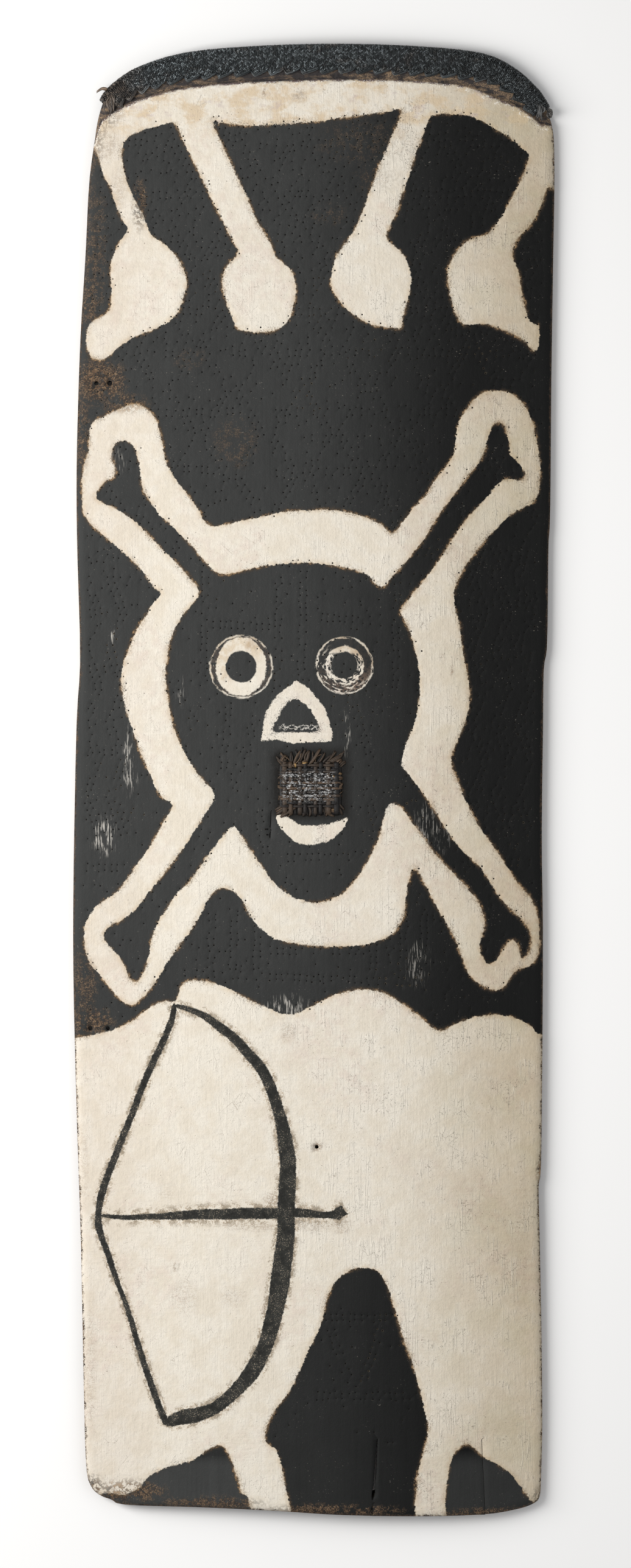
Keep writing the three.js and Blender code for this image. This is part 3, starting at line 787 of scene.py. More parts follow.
# ---------------------------------------------------------------------------------------------
# Finishes
# ---------------------------------------------------------------------------------------------
class Finish:
    """A material built from nodes. A value may be a number, a colour or another node's output."""

    def __init__(self, name):
        self.material = bpy.data.materials.new(name)
        self.material.use_nodes = True
        self.tree = self.material.node_tree
        self.tree.nodes.clear()
        self.shader = self.node("ShaderNodeBsdfPrincipled")
        output = self.node("ShaderNodeOutputMaterial")
        self.tree.links.new(self.shader.outputs[0], output.inputs["Surface"])
        own_place = self.node("ShaderNodeTexCoord").outputs["Object"]
        self.place = self.vector("SCALE", own_place, scale=1000.0)
        split = self.node("ShaderNodeSeparateXYZ", self.place)
        self.x, self.y, self.z = split.outputs

    def node(self, kind, *values, **settings):
        made = self.tree.nodes.new(kind)
        for name, value in settings.items():
            setattr(made, name, value)
        for socket, value in zip(made.inputs, values):
            self.set(socket, value)
        return made

    def set(self, socket, value):
        if isinstance(value, bpy.types.NodeSocket):
            self.tree.links.new(value, socket)
        elif socket.type == "RGBA":
            socket.default_value = (*value[:3], 1.0)
        else:
            socket.default_value = value

    def math(self, operation, a, b=0.0, c=0.0, clamp=False):
        return self.node("ShaderNodeMath", a, b, c, operation=operation, use_clamp=clamp).outputs[0]

    def add(self, *values):
        total = values[0]
        for value in values[1:]:
            total = self.math("ADD", total, value)
        return total

    def times(self, *values):
        total = values[0]
        for value in values[1:]:
            total = self.math("MULTIPLY", total, value)
        return total

    def less(self, a, b):
        return self.math("SUBTRACT", a, b)

    def most(self, *values):
        total = values[0]
        for value in values[1:]:
            total = self.math("MAXIMUM", total, value)
        return total

    def rest(self, share):
        return self.math("SUBTRACT", 1.0, share)

    def vector(self, operation, a, b=None, scale=None):
        made = self.node("ShaderNodeVectorMath", a, operation=operation)
        if b is not None:
            self.set(made.inputs[1], b)
        if scale is not None:
            self.set(made.inputs["Scale"], scale)
        return made.outputs["Value" if operation in ("LENGTH", "DISTANCE") else "Vector"]

    def ramp(self, value, low, high, start=0.0, end=1.0):
        """Goes smoothly from start to end while the value goes from low to high."""
        made = self.node("ShaderNodeMapRange", value, low, high, start, end,
                         interpolation_type="SMOOTHSTEP")
        return made.outputs[0]

    def band(self, value, low, high, soft):
        """1 between low and high, 0 outside, with soft edges."""
        rising = self.ramp(value, low - soft, low + soft)
        falling = self.ramp(value, high - soft, high + soft, 1, 0)
        return self.times(rising, falling)

    def mix(self, share, first, second, blend="MIX"):
        made = self.node("ShaderNodeMix", data_type="RGBA", blend_type=blend)
        self.set(made.inputs[0], share)
        self.set(made.inputs[6], first)
        self.set(made.inputs[7], second)
        return made.outputs[2]

    def shade(self, colour, factor):
        """Makes a colour lighter or darker by a factor."""
        return self.vector("SCALE", colour, scale=factor)

    def spot_on(self, stretch=(1, 1, 1), shift=0.0, turn=0.0):
        made = self.node("ShaderNodeMapping", self.place)
        made.inputs["Scale"].default_value = stretch
        made.inputs["Location"].default_value = (shift, shift * 0.7, shift * 0.3)
        made.inputs["Rotation"].default_value = (0, 0, math.radians(turn))
        return made.outputs[0]

    def noise(self, size, detail=2.0, rough=0.5, stretch=(1, 1, 1), shift=0.0, turn=0.0, on=None):
        """Soft irregular values about 0.5, with features of the given size in mm."""
        made = self.node("ShaderNodeTexNoise")
        self.set(made.inputs["Vector"], on or self.spot_on(stretch, shift, turn))
        made.inputs["Scale"].default_value = 1.0 / size
        made.inputs["Detail"].default_value = detail
        made.inputs["Roughness"].default_value = rough
        return made.outputs[0]

    def cracks(self, size, stretch=(1, 1, 1), shift=0.0):
        """Distance to the walls of irregular cells, in cells."""
        made = self.node("ShaderNodeTexVoronoi", feature="DISTANCE_TO_EDGE")
        self.set(made.inputs["Vector"], self.spot_on(stretch, shift))
        made.inputs["Scale"].default_value = 1.0 / size
        return made.outputs["Distance"]

    def carried(self, name, as_vector=False):
        """A value that the mesh carries at each point."""
        made = self.node("ShaderNodeAttribute", attribute_name=name)
        return made.outputs["Vector" if as_vector else "Fac"]

    def centred(self, value, swing):
        """A noise value, centred on 0."""
        return self.times(self.less(value, 0.5), swing)

    def close(self, colour, roughness, height=None, depth=0.4, specular=0.4):
        self.set(self.shader.inputs["Base Color"], colour)
        self.set(self.shader.inputs["Roughness"], roughness)
        self.shader.inputs["Specular IOR Level"].default_value = specular
        if height is not None:
            bump = self.node("ShaderNodeBump")
            bump.inputs["Strength"].default_value = 1.0
            bump.inputs["Distance"].default_value = depth * MM
            self.set(bump.inputs["Height"], height)
            self.tree.links.new(bump.outputs[0], self.shader.inputs["Normal"])
        return self.material


CHARCOAL = (0.0360, 0.0372, 0.0366)
CREAM = (0.720, 0.655, 0.552)
CLEAN_CREAM = (0.770, 0.718, 0.628)
OCHRE_CREAM = (0.60, 0.475, 0.325)
PINK_CREAM = (0.690, 0.595, 0.515)
GREY_STAIN = (0.42, 0.37, 0.35)
TAN = (0.36, 0.225, 0.115)
BROWN_WOOD = (0.120, 0.072, 0.042)
DARK_WOOD = (0.030, 0.021, 0.016)
BARE_WOOD = (0.235, 0.160, 0.098)
PIT_SHADE = (0.004, 0.004, 0.004)


def eye_ring(f, eye, wobble, shift):
    """Cover of the painted rings round one eye: the ring, the thin outer line, and what lies between."""
    across, up = f.less(f.x, eye["x"]), f.less(f.y, eye["y"])
    flat = f.node("ShaderNodeCombineXYZ", across, up, 0.0).outputs[0]
    tall = f.node("ShaderNodeCombineXYZ", across, f.times(up, 1 / eye["tall"]), 0.0).outputs[0]
    away = f.add(f.vector("LENGTH", flat), f.times(wobble, 0.7))
    round_it = f.times(f.math("ARCTAN2", up, across), 7.0)
    strokes = f.node("ShaderNodeCombineXYZ", away, round_it, shift).outputs[0]
    patches = f.noise(2.4, 4, 0.62, on=strokes)
    away_tall = f.add(f.vector("LENGTH", tall), f.times(wobble, 1.1))
    ring = f.times(f.ramp(away, eye["inner"] - 0.7, eye["inner"] + 0.7),
                   f.ramp(away_tall, eye["outer"] - 0.7, eye["outer"] + 0.7, 1, 0))
    ring = f.times(ring, f.ramp(patches, 0.62 - eye["cover"] * 0.36, 0.68 - eye["cover"] * 0.36))
    line = f.band(away, eye["line"] - 1.4, eye["line"] + 0.6, 0.7)
    line = f.times(line, f.ramp(patches, 0.42, 0.52))
    dragged = f.times(f.band(away, eye["outer"] + 0.5, eye["line"] - 0.5, 1.0),
                      f.ramp(patches, eye["dry"], eye["dry"] + 0.04))
    lower_left = f.ramp(f.add(f.times(across, -0.6), f.times(up, -0.8)), -12, 14)
    line = f.most(line, f.times(dragged, lower_left))
    between = f.times(f.ramp(away_tall, eye["outer"] - 1, eye["outer"] + 1),
                      f.ramp(away, eye["line"] - 1, eye["line"], 1, 0))
    return ring, f.times(line, 0.85), between, away


# How far each drawn line is smeared, in mm
SMEARS = {"bow": 6.0, "string": 5.0, "arrow": 9.5}


def drawn_line(f, name, ragged, fine):
    """Cover of a charcoal line over the cream, and of the brown smear beside it."""
    split = f.node("ShaderNodeSeparateXYZ", f.carried(name, True)).outputs
    off = f.math("ABSOLUTE", split[0])
    within = f.add(f.less(split[1], off), f.centred(ragged, 3.4), f.centred(fine, 2.0))
    cover = f.ramp(within, -0.5, 0.8)
    smear = f.ramp(f.add(within, f.centred(fine, 6.0), f.centred(ragged, 6.0)), -SMEARS[name], -1.0)
    return cover, f.times(smear, 0.85)


def painted_wood_finish():
    """Charcoal and cream clay paint over brown wood, with wear, dirt, drawn lines and painted shade."""
    f = Finish("painted_wood")
    cream, rim, ledge = f.carried("cream"), f.carried("rim"), f.carried("ledge")
    pit, worn, scuff, back = f.carried("pit"), f.carried("worn"), f.carried("scuff"), f.carried("back")

    broad = f.noise(85, 3, 0.55)
    mottle = f.noise(26, 4, 0.6, shift=40)
    patch = f.noise(9, 4, 0.6, shift=11)
    ragged = f.noise(3.6, 4, 0.62, shift=5)
    fine = f.noise(1.25, 3, 0.6, shift=7)
    grain = f.noise(2.6, 4, 0.62, (1, 0.045, 1))
    slow_grain = f.noise(13, 3, 0.5, (1, 0.05, 1), shift=9)
    brush = f.noise(2.0, 3, 0.6, (1, 0.08, 1), shift=21)
    cross_brush = f.noise(2.3, 3, 0.6, (0.10, 1, 1), shift=33, turn=-38)
    specks = f.noise(1.9, 2, 0.5, shift=61)

    # Bare wood of the sides and back
    wood = f.mix(f.ramp(grain, 0.35, 0.66), DARK_WOOD, BROWN_WOOD)
    wood = f.mix(f.times(f.ramp(slow_grain, 0.48, 0.66), f.ramp(fine, 0.42, 0.6)), wood, BARE_WOOD)

    # Charcoal paint
    tone = f.add(1.0, f.centred(grain, 0.30), f.centred(slow_grain, 0.25), f.centred(mottle, 0.35),
                 f.centred(fine, 0.30))
    # Painted light and shade: the charcoal is lighter on the left, where the lamp's light and sheen fall, and
    # darker towards the right. It is also darker towards the bottom. At the foot the black has its own,
    # gentler fall from left to right.
    side_shade_and_lower_tone = f.times(f.ramp(f.x, -40, 180, 1.0, 0.22), f.ramp(f.y, -560, -40, 0.55, 1.0))
    at_feet = f.times(f.ramp(f.y, -745, -720, 1, 0), f.ramp(f.math("ABSOLUTE", f.less(f.x, 36)), 78, 96))
    side_shade_and_lower_tone = f.most(side_shade_and_lower_tone, f.times(at_feet, f.ramp(f.x, -60, 200, 1.15, 0.70)))
    black = f.shade(CHARCOAL, f.times(tone, side_shade_and_lower_tone))
    dusty = f.times(f.ramp(specks, 0.68, 0.73), f.ramp(mottle, 0.50, 0.6), 0.35)
    black = f.mix(dusty, black, (0.30, 0.27, 0.23))

    # Painted shadow: the charcoal is darkened round the lashing.
    lashing_shadow = f.times(f.band(f.x, -46, 38, 7), f.band(f.y, -43, 33, 7))
    black = f.mix(f.times(lashing_shadow, f.ramp(patch, 0.30, 0.55, 0.5, 0.9)), black, (0.010, 0.009, 0.008))

    # Worn places and edges
    edge_wear = f.ramp(f.add(rim, f.centred(patch, 8.0), f.centred(ragged, 4)), 0.2, 2.6, 1, 0)
    wear = f.times(worn, f.ramp(f.add(patch, f.times(worn, 0.14)), 0.50, 0.60))
    wear = f.most(wear, f.times(edge_wear, 0.85))
    rubbed = f.mix(f.ramp(ragged, 0.44, 0.58), DARK_WOOD, BROWN_WOOD)
    rubbed = f.mix(f.times(f.ramp(fine, 0.52, 0.62), f.ramp(patch, 0.42, 0.58)), rubbed, BARE_WOOD)
    black = f.mix(f.times(wear, f.ramp(fine, 0.36, 0.52)), black, rubbed)
    crumbs = f.times(worn, f.ramp(specks, 0.58, 0.63), f.ramp(ragged, 0.44, 0.58), 0.6)
    black = f.mix(crumbs, black, (0.27, 0.185, 0.110))

    # Punched dots
    tinted = f.ramp(f.add(broad, f.times(worn, 0.9)), 0.55, 0.72, 0.10, 0.85)
    rim_tint = f.times(f.band(pit, 0.525, 0.60, 0.018), tinted, f.ramp(ragged, 0.44, 0.54))
    black = f.mix(rim_tint, black, (0.25, 0.195, 0.125))

    # Where the cream lies
    rough_zone = f.ramp(mottle, 0.46, 0.60)
    tear = f.ramp(rough_zone, 0, 1, 2.0, 5.5)
    wobble = f.add(f.centred(patch, 4.4), f.centred(ragged, 4.6), f.centred(fine, tear))
    edge = f.add(cream, wobble)
    on_cream = f.ramp(edge, -0.35, 0.55)
    skips = f.times(f.ramp(edge, 0, 9, 1, 0), rough_zone, f.ramp(fine, 0.56, 0.62))
    skips = f.most(skips, f.times(worn, f.ramp(ragged, 0.46, 0.54)))
    on_cream = f.times(on_cream, f.rest(f.times(skips, 0.9)))

    unsteady = f.add(f.centred(patch, 5), f.centred(ragged, 3.4))
    left_eye = eye_ring(f, LEFT_EYE, unsteady, 81)
    right_eye = eye_ring(f, RIGHT_EYE, unsteady, 87)
    right_arc = f.times(f.band(right_eye[3], 15.0, 21.0, 0.7),
                        f.ramp(f.y, RIGHT_EYE["y"] + 11, RIGHT_EYE["y"] + 15))
    right_arc = f.times(right_arc, f.ramp(ragged, 0.33, 0.42))
    eyes = f.most(left_eye[0], left_eye[1], right_eye[0], right_eye[1], right_arc)
    low_right = f.times(f.ramp(f.y, 100, 128, 1.0, 0.08), f.ramp(f.x, 22, 46, 0.45, 1.0))
    smudge = f.most(f.times(left_eye[2], 0.30), f.times(right_eye[2], low_right))
    smudge = f.times(smudge, f.ramp(ragged, 0.40, 0.56))

    # Brown halo where the cream's binder has soaked out
    flat = f.node("ShaderNodeCombineXYZ", f.x, f.y, 0.0).outputs[0]
    outside_face = f.ramp(f.vector("DISTANCE", flat, (-8.0, 30.0, 0.0)), 104, 124)
    stained = f.times(f.ramp(f.add(mottle, f.centred(broad, 0.7)), 0.40, 0.60), outside_face)
    wide_halo = f.times(f.ramp(edge, -4.2, 0.2), stained, 0.75)
    black = f.mix(wide_halo, black, (0.060, 0.042, 0.027))
    near_halo = f.times(f.ramp(edge, -1.7, -0.1), stained, f.ramp(patch, 0.36, 0.56), 0.85)
    black = f.mix(near_halo, black, f.mix(f.ramp(ragged, 0.42, 0.60), (0.105, 0.070, 0.040), TAN))
    black = f.mix(smudge, black, (0.150, 0.108, 0.084))

    # Cream paint
    paint = f.mix(f.ramp(mottle, 0.36, 0.62), CREAM, CLEAN_CREAM)
    paint = f.mix(f.times(f.ramp(broad, 0.50, 0.64), f.ramp(patch, 0.40, 0.64), 0.55), paint, PINK_CREAM)
    near_edge = f.times(f.ramp(edge, 0.0, 7.0, 1, 0), outside_face)
    paint = f.mix(f.times(near_edge, f.ramp(patch, 0.40, 0.60), 0.55), paint, OCHRE_CREAM)
    paint = f.mix(f.times(f.ramp(edge, 0.0, 1.6, 1, 0), stained, 0.65), paint, (0.42, 0.29, 0.17))
    streaks = f.mix(f.ramp(f.add(broad, f.centred(mottle, 0.4)), 0.40, 0.54), brush, cross_brush)
    uneven = f.add(0.955, f.centred(streaks, 0.10), f.centred(ragged, 0.14), f.centred(fine, 0.10))
    paint = f.shade(paint, uneven)
    # Painted shade: the cream is made darker towards the right, where less light falls. It is also a little
    # darker at the far left.
    right_side = f.ramp(f.add(f.x, f.centred(broad, 120)), 60, 250)
    paint = f.mix(right_side, paint, f.mix(1.0, paint, (0.74, 0.69, 0.61), "MULTIPLY"))
    left_side = f.ramp(f.add(f.x, f.centred(broad, 60)), -225, -150, 1, 0)
    paint = f.mix(left_side, paint, f.mix(1.0, paint, (0.94, 0.925, 0.92), "MULTIPLY"))
    top_band = f.ramp(f.add(f.y, f.centred(patch, 30)), 690, 716)
    stain = f.times(top_band, f.ramp(f.noise(20, 5, 0.65, (0.7, 1, 1), shift=71), 0.44, 0.62), 0.80)
    paint = f.mix(stain, paint, OCHRE_CREAM)
    lilac = f.times(top_band, f.ramp(f.noise(15, 5, 0.65, (0.7, 1, 1), shift=77), 0.57, 0.68), 0.5)
    paint = f.mix(lilac, paint, (0.50, 0.42, 0.40))
    dirt = f.times(f.ramp(fine, 0.64, 0.70), f.ramp(mottle, 0.40, 0.62), 0.55)
    paint = f.mix(dirt, paint, GREY_STAIN)
    dots = f.times(f.ramp(f.add(specks, f.centred(broad, 0.12), f.times(top_band, 0.02)), 0.72, 0.75), 0.65)
    paint = f.mix(dots, paint, (0.12, 0.09, 0.07))
    thick = f.ramp(f.add(f.x, f.centred(mottle, 260)), -60, 120, 0.35, 1.0)
    clustered = f.ramp(f.add(mottle, f.centred(patch, 0.5)), 0.50, 0.66)
    crumbs_of_clay = f.times(f.ramp(f.noise(2.3, 2, 0.5, shift=101), 0.60, 0.69), thick, clustered)
    combed = f.noise(7, 2, 0.5, (1, 0.05, 1), shift=111, turn=6)
    ridges = f.times(f.band(combed, 0.492, 0.508, 0.008), f.ramp(mottle, 0.44, 0.58), thick)
    pores = f.times(f.ramp(f.noise(2.2, 2, 0.5, shift=121), 0.68, 0.73), thick, clustered)
    # Painted shade: the pores are painted darker, as shade in the small pits.
    paint = f.mix(f.times(pores, 0.5), paint, (0.24, 0.185, 0.13))
    paint = f.mix(f.times(ridges, 0.25), paint, CLEAN_CREAM)
    greenish = f.times(right_side, f.ramp(f.noise(60, 3, 0.55, shift=131), 0.46, 0.62), 0.5)
    paint = f.mix(greenish, paint, f.mix(1.0, paint, (0.90, 0.92, 0.86), "MULTIPLY"))
    cell_walls = f.ramp(f.cracks(15, (1, 0.55, 1)), 0.0, 0.016, 1, 0)
    cracked = f.ramp(f.add(mottle, f.times(right_side, 0.06)), 0.56, 0.64)
    fissures = f.times(cell_walls, cracked, f.ramp(fine, 0.42, 0.5), 0.38)
    paint = f.mix(fissures, paint, (0.30, 0.24, 0.18))
    grit = f.add(f.times(fine, 0.5), f.times(ragged, 0.3), f.times(cross_brush, 0.2),
                 f.times(f.carried("grime"), 0.07))
    grimy = f.times(f.carried("grime"), f.ramp(grit, 0.48, 0.60))
    paint = f.mix(grimy, paint, f.mix(f.ramp(fine, 0.4, 0.6), (0.10, 0.075, 0.055), (0.40, 0.31, 0.23)))

    # Charcoal drawing on the cream
    drawn = drawn_smear = None
    for name in VECTOR_LAYERS:
        cover, smear = drawn_line(f, name, ragged, fine)
        drawn = cover if drawn is None else f.most(drawn, cover)
        drawn_smear = smear if drawn_smear is None else f.most(drawn_smear, smear)
    smear_colour = f.mix(f.ramp(patch, 0.42, 0.58), (0.47, 0.37, 0.26), (0.27, 0.215, 0.150))
    smear_patches = f.ramp(f.add(patch, f.centred(mottle, 0.6), f.centred(fine, 0.7)), 0.42, 0.56)
    paint = f.mix(f.times(drawn_smear, smear_patches), paint, smear_colour)
    drawn_black = f.shade((0.030, 0.030, 0.027), f.add(1.0, f.centred(patch, 2.0), f.centred(fine, 1.0)))
    dry = f.times(f.ramp(fine, 0.56, 0.64), f.ramp(patch, 0.44, 0.60))
    paint = f.mix(f.times(drawn, f.rest(f.times(dry, 0.75))), paint, drawn_black)

    colour = f.mix(f.most(on_cream, eyes), black, paint)
    colour = f.mix(f.times(edge_wear, on_cream, f.ramp(fine, 0.40, 0.5)), colour, rubbed)

    # Pale scuffs, and the scribble in the nose
    scratches = f.noise(1.5, 3, 0.6, (1, 0.10, 1), shift=51, turn=8)
    scuffed = f.times(scuff, f.ramp(f.add(scratches, f.times(scuff, 0.06)), 0.55, 0.66), 0.8)
    swing = f.times(f.math("SINE", f.add(f.times(f.x, 0.62), f.centred(patch, 15))), 1.1)
    wavy = f.add(f.y, f.centred(ragged, 6))
    scribble = f.most(f.band(f.add(wavy, swing), 57.4, 58.4, 0.5),
                      f.band(f.less(wavy, swing), 54.8, 55.8, 0.5))
    scribble = f.times(scribble, f.band(f.x, -37, 4, 2), f.ramp(fine, 0.38, 0.45))
    colour = f.mix(f.most(scuffed, scribble), colour, (0.58, 0.55, 0.50))

    # The brown strip under the binding
    strip = f.ramp(f.add(ledge, f.centred(ragged, 3.0), f.centred(patch, 3.0)), -2.6, -0.4)
    streaky = f.noise(6, 4, 0.6, (0.4, 1, 1), shift=91)
    browner = f.most(f.ramp(f.x, -150, -90, 0.05, 0.0), f.ramp(f.x, 10, 70, 0.0, 0.09))
    strip_paint = f.mix(f.ramp(f.add(streaky, browner), 0.47, 0.62),
                        (0.046, 0.041, 0.041), (0.122, 0.092, 0.070))
    lights = f.ramp(f.add(f.times(streaky, 0.5), f.times(fine, 0.5), browner), 0.57, 0.66)
    strip_paint = f.mix(f.times(lights, 0.7), strip_paint, (0.36, 0.25, 0.155))
    strip_paint = f.mix(f.times(f.ramp(ragged, 0.54, 0.64), 0.7), strip_paint, (0.028, 0.025, 0.026))
    colour = f.mix(strip, colour, strip_paint)
    border = f.add(ledge, f.centred(ragged, 3.0))
    plum_line = f.times(f.band(border, -2.6, -0.6, 0.5), f.ramp(patch, 0.42, 0.55), 0.75)
    colour = f.mix(plum_line, colour, (0.110, 0.075, 0.078))
    chips = f.times(f.band(border, -5.5, -0.8, 1.0),
                    f.ramp(f.add(ragged, f.centred(fine, 1.1)), 0.59, 0.64))
    colour = f.mix(f.times(chips, 0.9), colour, (0.80, 0.76, 0.69))

    # Painted shade: the punched dots and the splits are painted near black inside.
    pit_shade = f.ramp(f.add(pit, f.centred(fine, 0.10)), 0.56, 0.68)
    colour = f.mix(pit_shade, colour, PIT_SHADE)
    bare = f.most(f.ramp(back, 0.2, 0.6), f.ramp(rim, 0.2, -1.0))
    colour = f.mix(bare, colour, wood)

    raised = f.times(on_cream, 0.5)
    height = f.add(raised, f.times(f.centred(streaks, 0.55), on_cream), f.centred(grain, 0.30),
                   f.centred(fine, 0.30))
    clay = f.add(f.times(crumbs_of_clay, 0.9), f.times(ridges, 0.55), f.times(pores, -0.9),
                 f.centred(patch, 1.6))
    height = f.add(height, f.times(fissures, -0.7), f.centred(ragged, 0.6), f.times(clay, on_cream))
    roughness = f.add(f.times(on_cream, 0.16), 0.60, f.centred(mottle, 0.2), f.centred(fine, 0.15))
    return f.close(colour, roughness, height, 0.6, 0.11)


def fibre_finish():
    """Blue-black plaited fibre, browner at the left end, with painted shade towards the right and painted
    light and shade on each strand.
    """
    f = Finish("dark_fibre")
    tone, crest = f.carried("tone"), f.carried("crest")
    streak = f.noise(0.8, 3, 0.6)
    patch = f.noise(14, 3, 0.6, shift=13)
    blue = f.mix(f.ramp(tone, 0.0, 1.0), (0.013, 0.017, 0.019), (0.235, 0.270, 0.285))
    brown = f.mix(f.ramp(tone, 0.0, 1.0), (0.015, 0.011, 0.009), (0.190, 0.135, 0.095))
    brownness = f.most(f.ramp(f.add(f.x, f.centred(patch, 90)), -215, -175, 0.9, 0.0),
                       f.ramp(patch, 0.56, 0.70, 0.0, 0.5))
    brownness = f.most(brownness, f.carried("brown"))
    colour = f.mix(brownness, blue, brown)
    # Painted light and shade: the plait is darker towards the right, where less light falls, and each strand
    # is lighter on its crest and darker down its sides.
    right = f.ramp(f.x, -40, 200, 1.0, 0.55)
    colour = f.shade(colour, f.times(right, f.add(0.20, f.times(crest, crest, 1.15), f.centred(streak, 0.7))))
    return f.close(colour, f.add(0.42, f.centred(streak, 0.2)), streak, 0.15, 0.5)


def cane_finish():
    """Dark split cane with some cream paint rubbed on, and painted light and shade on each strip."""
    f = Finish("brown_cane")
    tone, crest = f.carried("tone"), f.carried("crest")
    streak = f.noise(0.9, 3, 0.65)
    patch = f.noise(4.5, 4, 0.6, shift=17)
    fine = f.noise(1.1, 3, 0.6, shift=23)
    colour = f.mix(f.ramp(tone, 0.05, 0.70), (0.008, 0.007, 0.007), (0.085, 0.055, 0.034))
    colour = f.mix(f.ramp(tone, 0.75, 1.0), colour, (0.36, 0.22, 0.085))
    # Painted light and shade: each strip is lighter on its crest and darker down its sides.
    colour = f.shade(colour, f.add(0.10, f.times(crest, crest, 1.05), f.centred(streak, 1.3)))
    rubbed = f.times(f.band(f.x, -33, 21, 4), f.band(f.y, -23, 8, 4), f.ramp(f.z, 24, 26))
    flecks = f.noise(1.3, 4, 0.72, (0.42, 1, 1), shift=29)
    paint = f.times(rubbed, f.ramp(f.add(flecks, f.centred(patch, 0.55), f.times(crest, 0.05)), 0.565, 0.615))
    colour = f.mix(paint, colour, f.mix(f.ramp(fine, 0.36, 0.62), (0.15, 0.155, 0.165), (0.62, 0.62, 0.61)))
    roughness = f.add(0.52, f.centred(streak, 0.25))
    height = f.add(streak, f.times(paint, 0.6))
    return f.close(colour, roughness, height, 0.35, 0.30)


# ---------------------------------------------------------------------------------------------
# Strands
# ---------------------------------------------------------------------------------------------
def lay_strands(name, paths, lifts, widths, heights, tones, brown=0.0, sides=5):
    """Closed strands along many paths. All arrays have one row per strand and one column per ring."""
    paths, lifts = np.asarray(paths, float), np.asarray(lifts, float)
    count, rings = paths.shape[:2]
    widths, heights = np.broadcast_to(widths, (count, rings)), np.broadcast_to(heights, (count, rings))
    template = bmesh.new()
    ring = bmesh.ops.create_circle(template, segments=sides, radius=1, cap_ends=True)["verts"]
    for _ in range(1, rings):
        made = bmesh.ops.extrude_edge_only(template, edges=ring_edges(ring) or template.edges[:])
        ring = [part for part in made["geom"] if isinstance(part, bmesh.types.BMVert)]
        bmesh.ops.translate(template, verts=ring, vec=(0, 0, 1))
    bmesh.ops.holes_fill(template, edges=ring_edges(ring), sides=sides)
    bmesh.ops.recalc_face_normals(template, faces=template.faces[:])
    single = finish_mesh(template, name)
    copies = single.modifiers.new("copies", "ARRAY")
    copies.count = count
    copies.use_relative_offset = False
    mesh = bpy.data.meshes.new_from_object(single.evaluated_get(bpy.context.evaluated_depsgraph_get()))
    bpy.data.objects.remove(single)
    mesh.name = name

    points = np.empty(len(mesh.vertices) * 3)
    mesh.vertices.foreach_get("co", points)
    shape = points.reshape(count, -1, 3)
    at = np.rint(shape[0, :, 2]).astype(int)
    runs = np.gradient(paths, axis=1)
    runs /= np.maximum(np.linalg.norm(runs, axis=2, keepdims=True), 1e-9)
    across = np.cross(lifts, runs)
    across /= np.maximum(np.linalg.norm(across, axis=2, keepdims=True), 1e-9)
    rise = np.cross(runs, across)
    placed = paths[:, at] + across[:, at] * (widths[:, at, None] * shape[:, :, :1])
    placed += rise[:, at] * (heights[:, at, None] * shape[:, :, 1:2])
    mesh.vertices.foreach_set("co", (placed * MM).ravel())
    values = {
        "tone": np.repeat(np.asarray(tones, float), len(at)),
        # crest: how high round its strand a point lies; the finishes use it for painted light and shade
        "crest": np.tile(shape[0, :, 1] * 0.5 + 0.5, count),
        "brown": np.repeat(np.broadcast_to(brown, count), len(at)),
    }
    for label, numbers in values.items():
        mesh.attributes.new(label, "FLOAT", "POINT").data.foreach_set("value", numbers)
    mesh.shade_smooth()
    mesh.update()
    piece = bpy.data.objects.new(name, mesh)
    bpy.context.scene.collection.objects.link(piece)
    return piece


# ---------------------------------------------------------------------------------------------
# Plaited rim binding
# ---------------------------------------------------------------------------------------------
def top_edge(count):
    """Points along the plank's bound edge, from the left end to the right, in mm."""
    middle = np.array([8.0, 520.0])
    first, last = math.atan2(738 - 520, -231 - 8), math.atan2(727 - 520, 253 - 8)
    points = []
    for angle in np.linspace(first, last, count):
        heading = np.array([math.cos(angle), math.sin(angle)])
        x = heading[0] * 240 / max(abs(heading[0]), 0.75)
        for _ in range(3):
            level = (front_height(x * MM) - 2.5 * MM + back_height(x * MM) + 5 * MM) / 2
            start = (*((middle + heading * 900) * MM), level)
            found = hit(plank_rays, start, (-heading[0], -heading[1], 0))
            x = found.x / MM
        points.append((found.x / MM, found.y / MM))
    return np.array(points)


SECTION = 48.0  # the plait's section from its lower line in front to its edge behind, in mm
TEETH = 27
TOOTH_REACH = 6.4


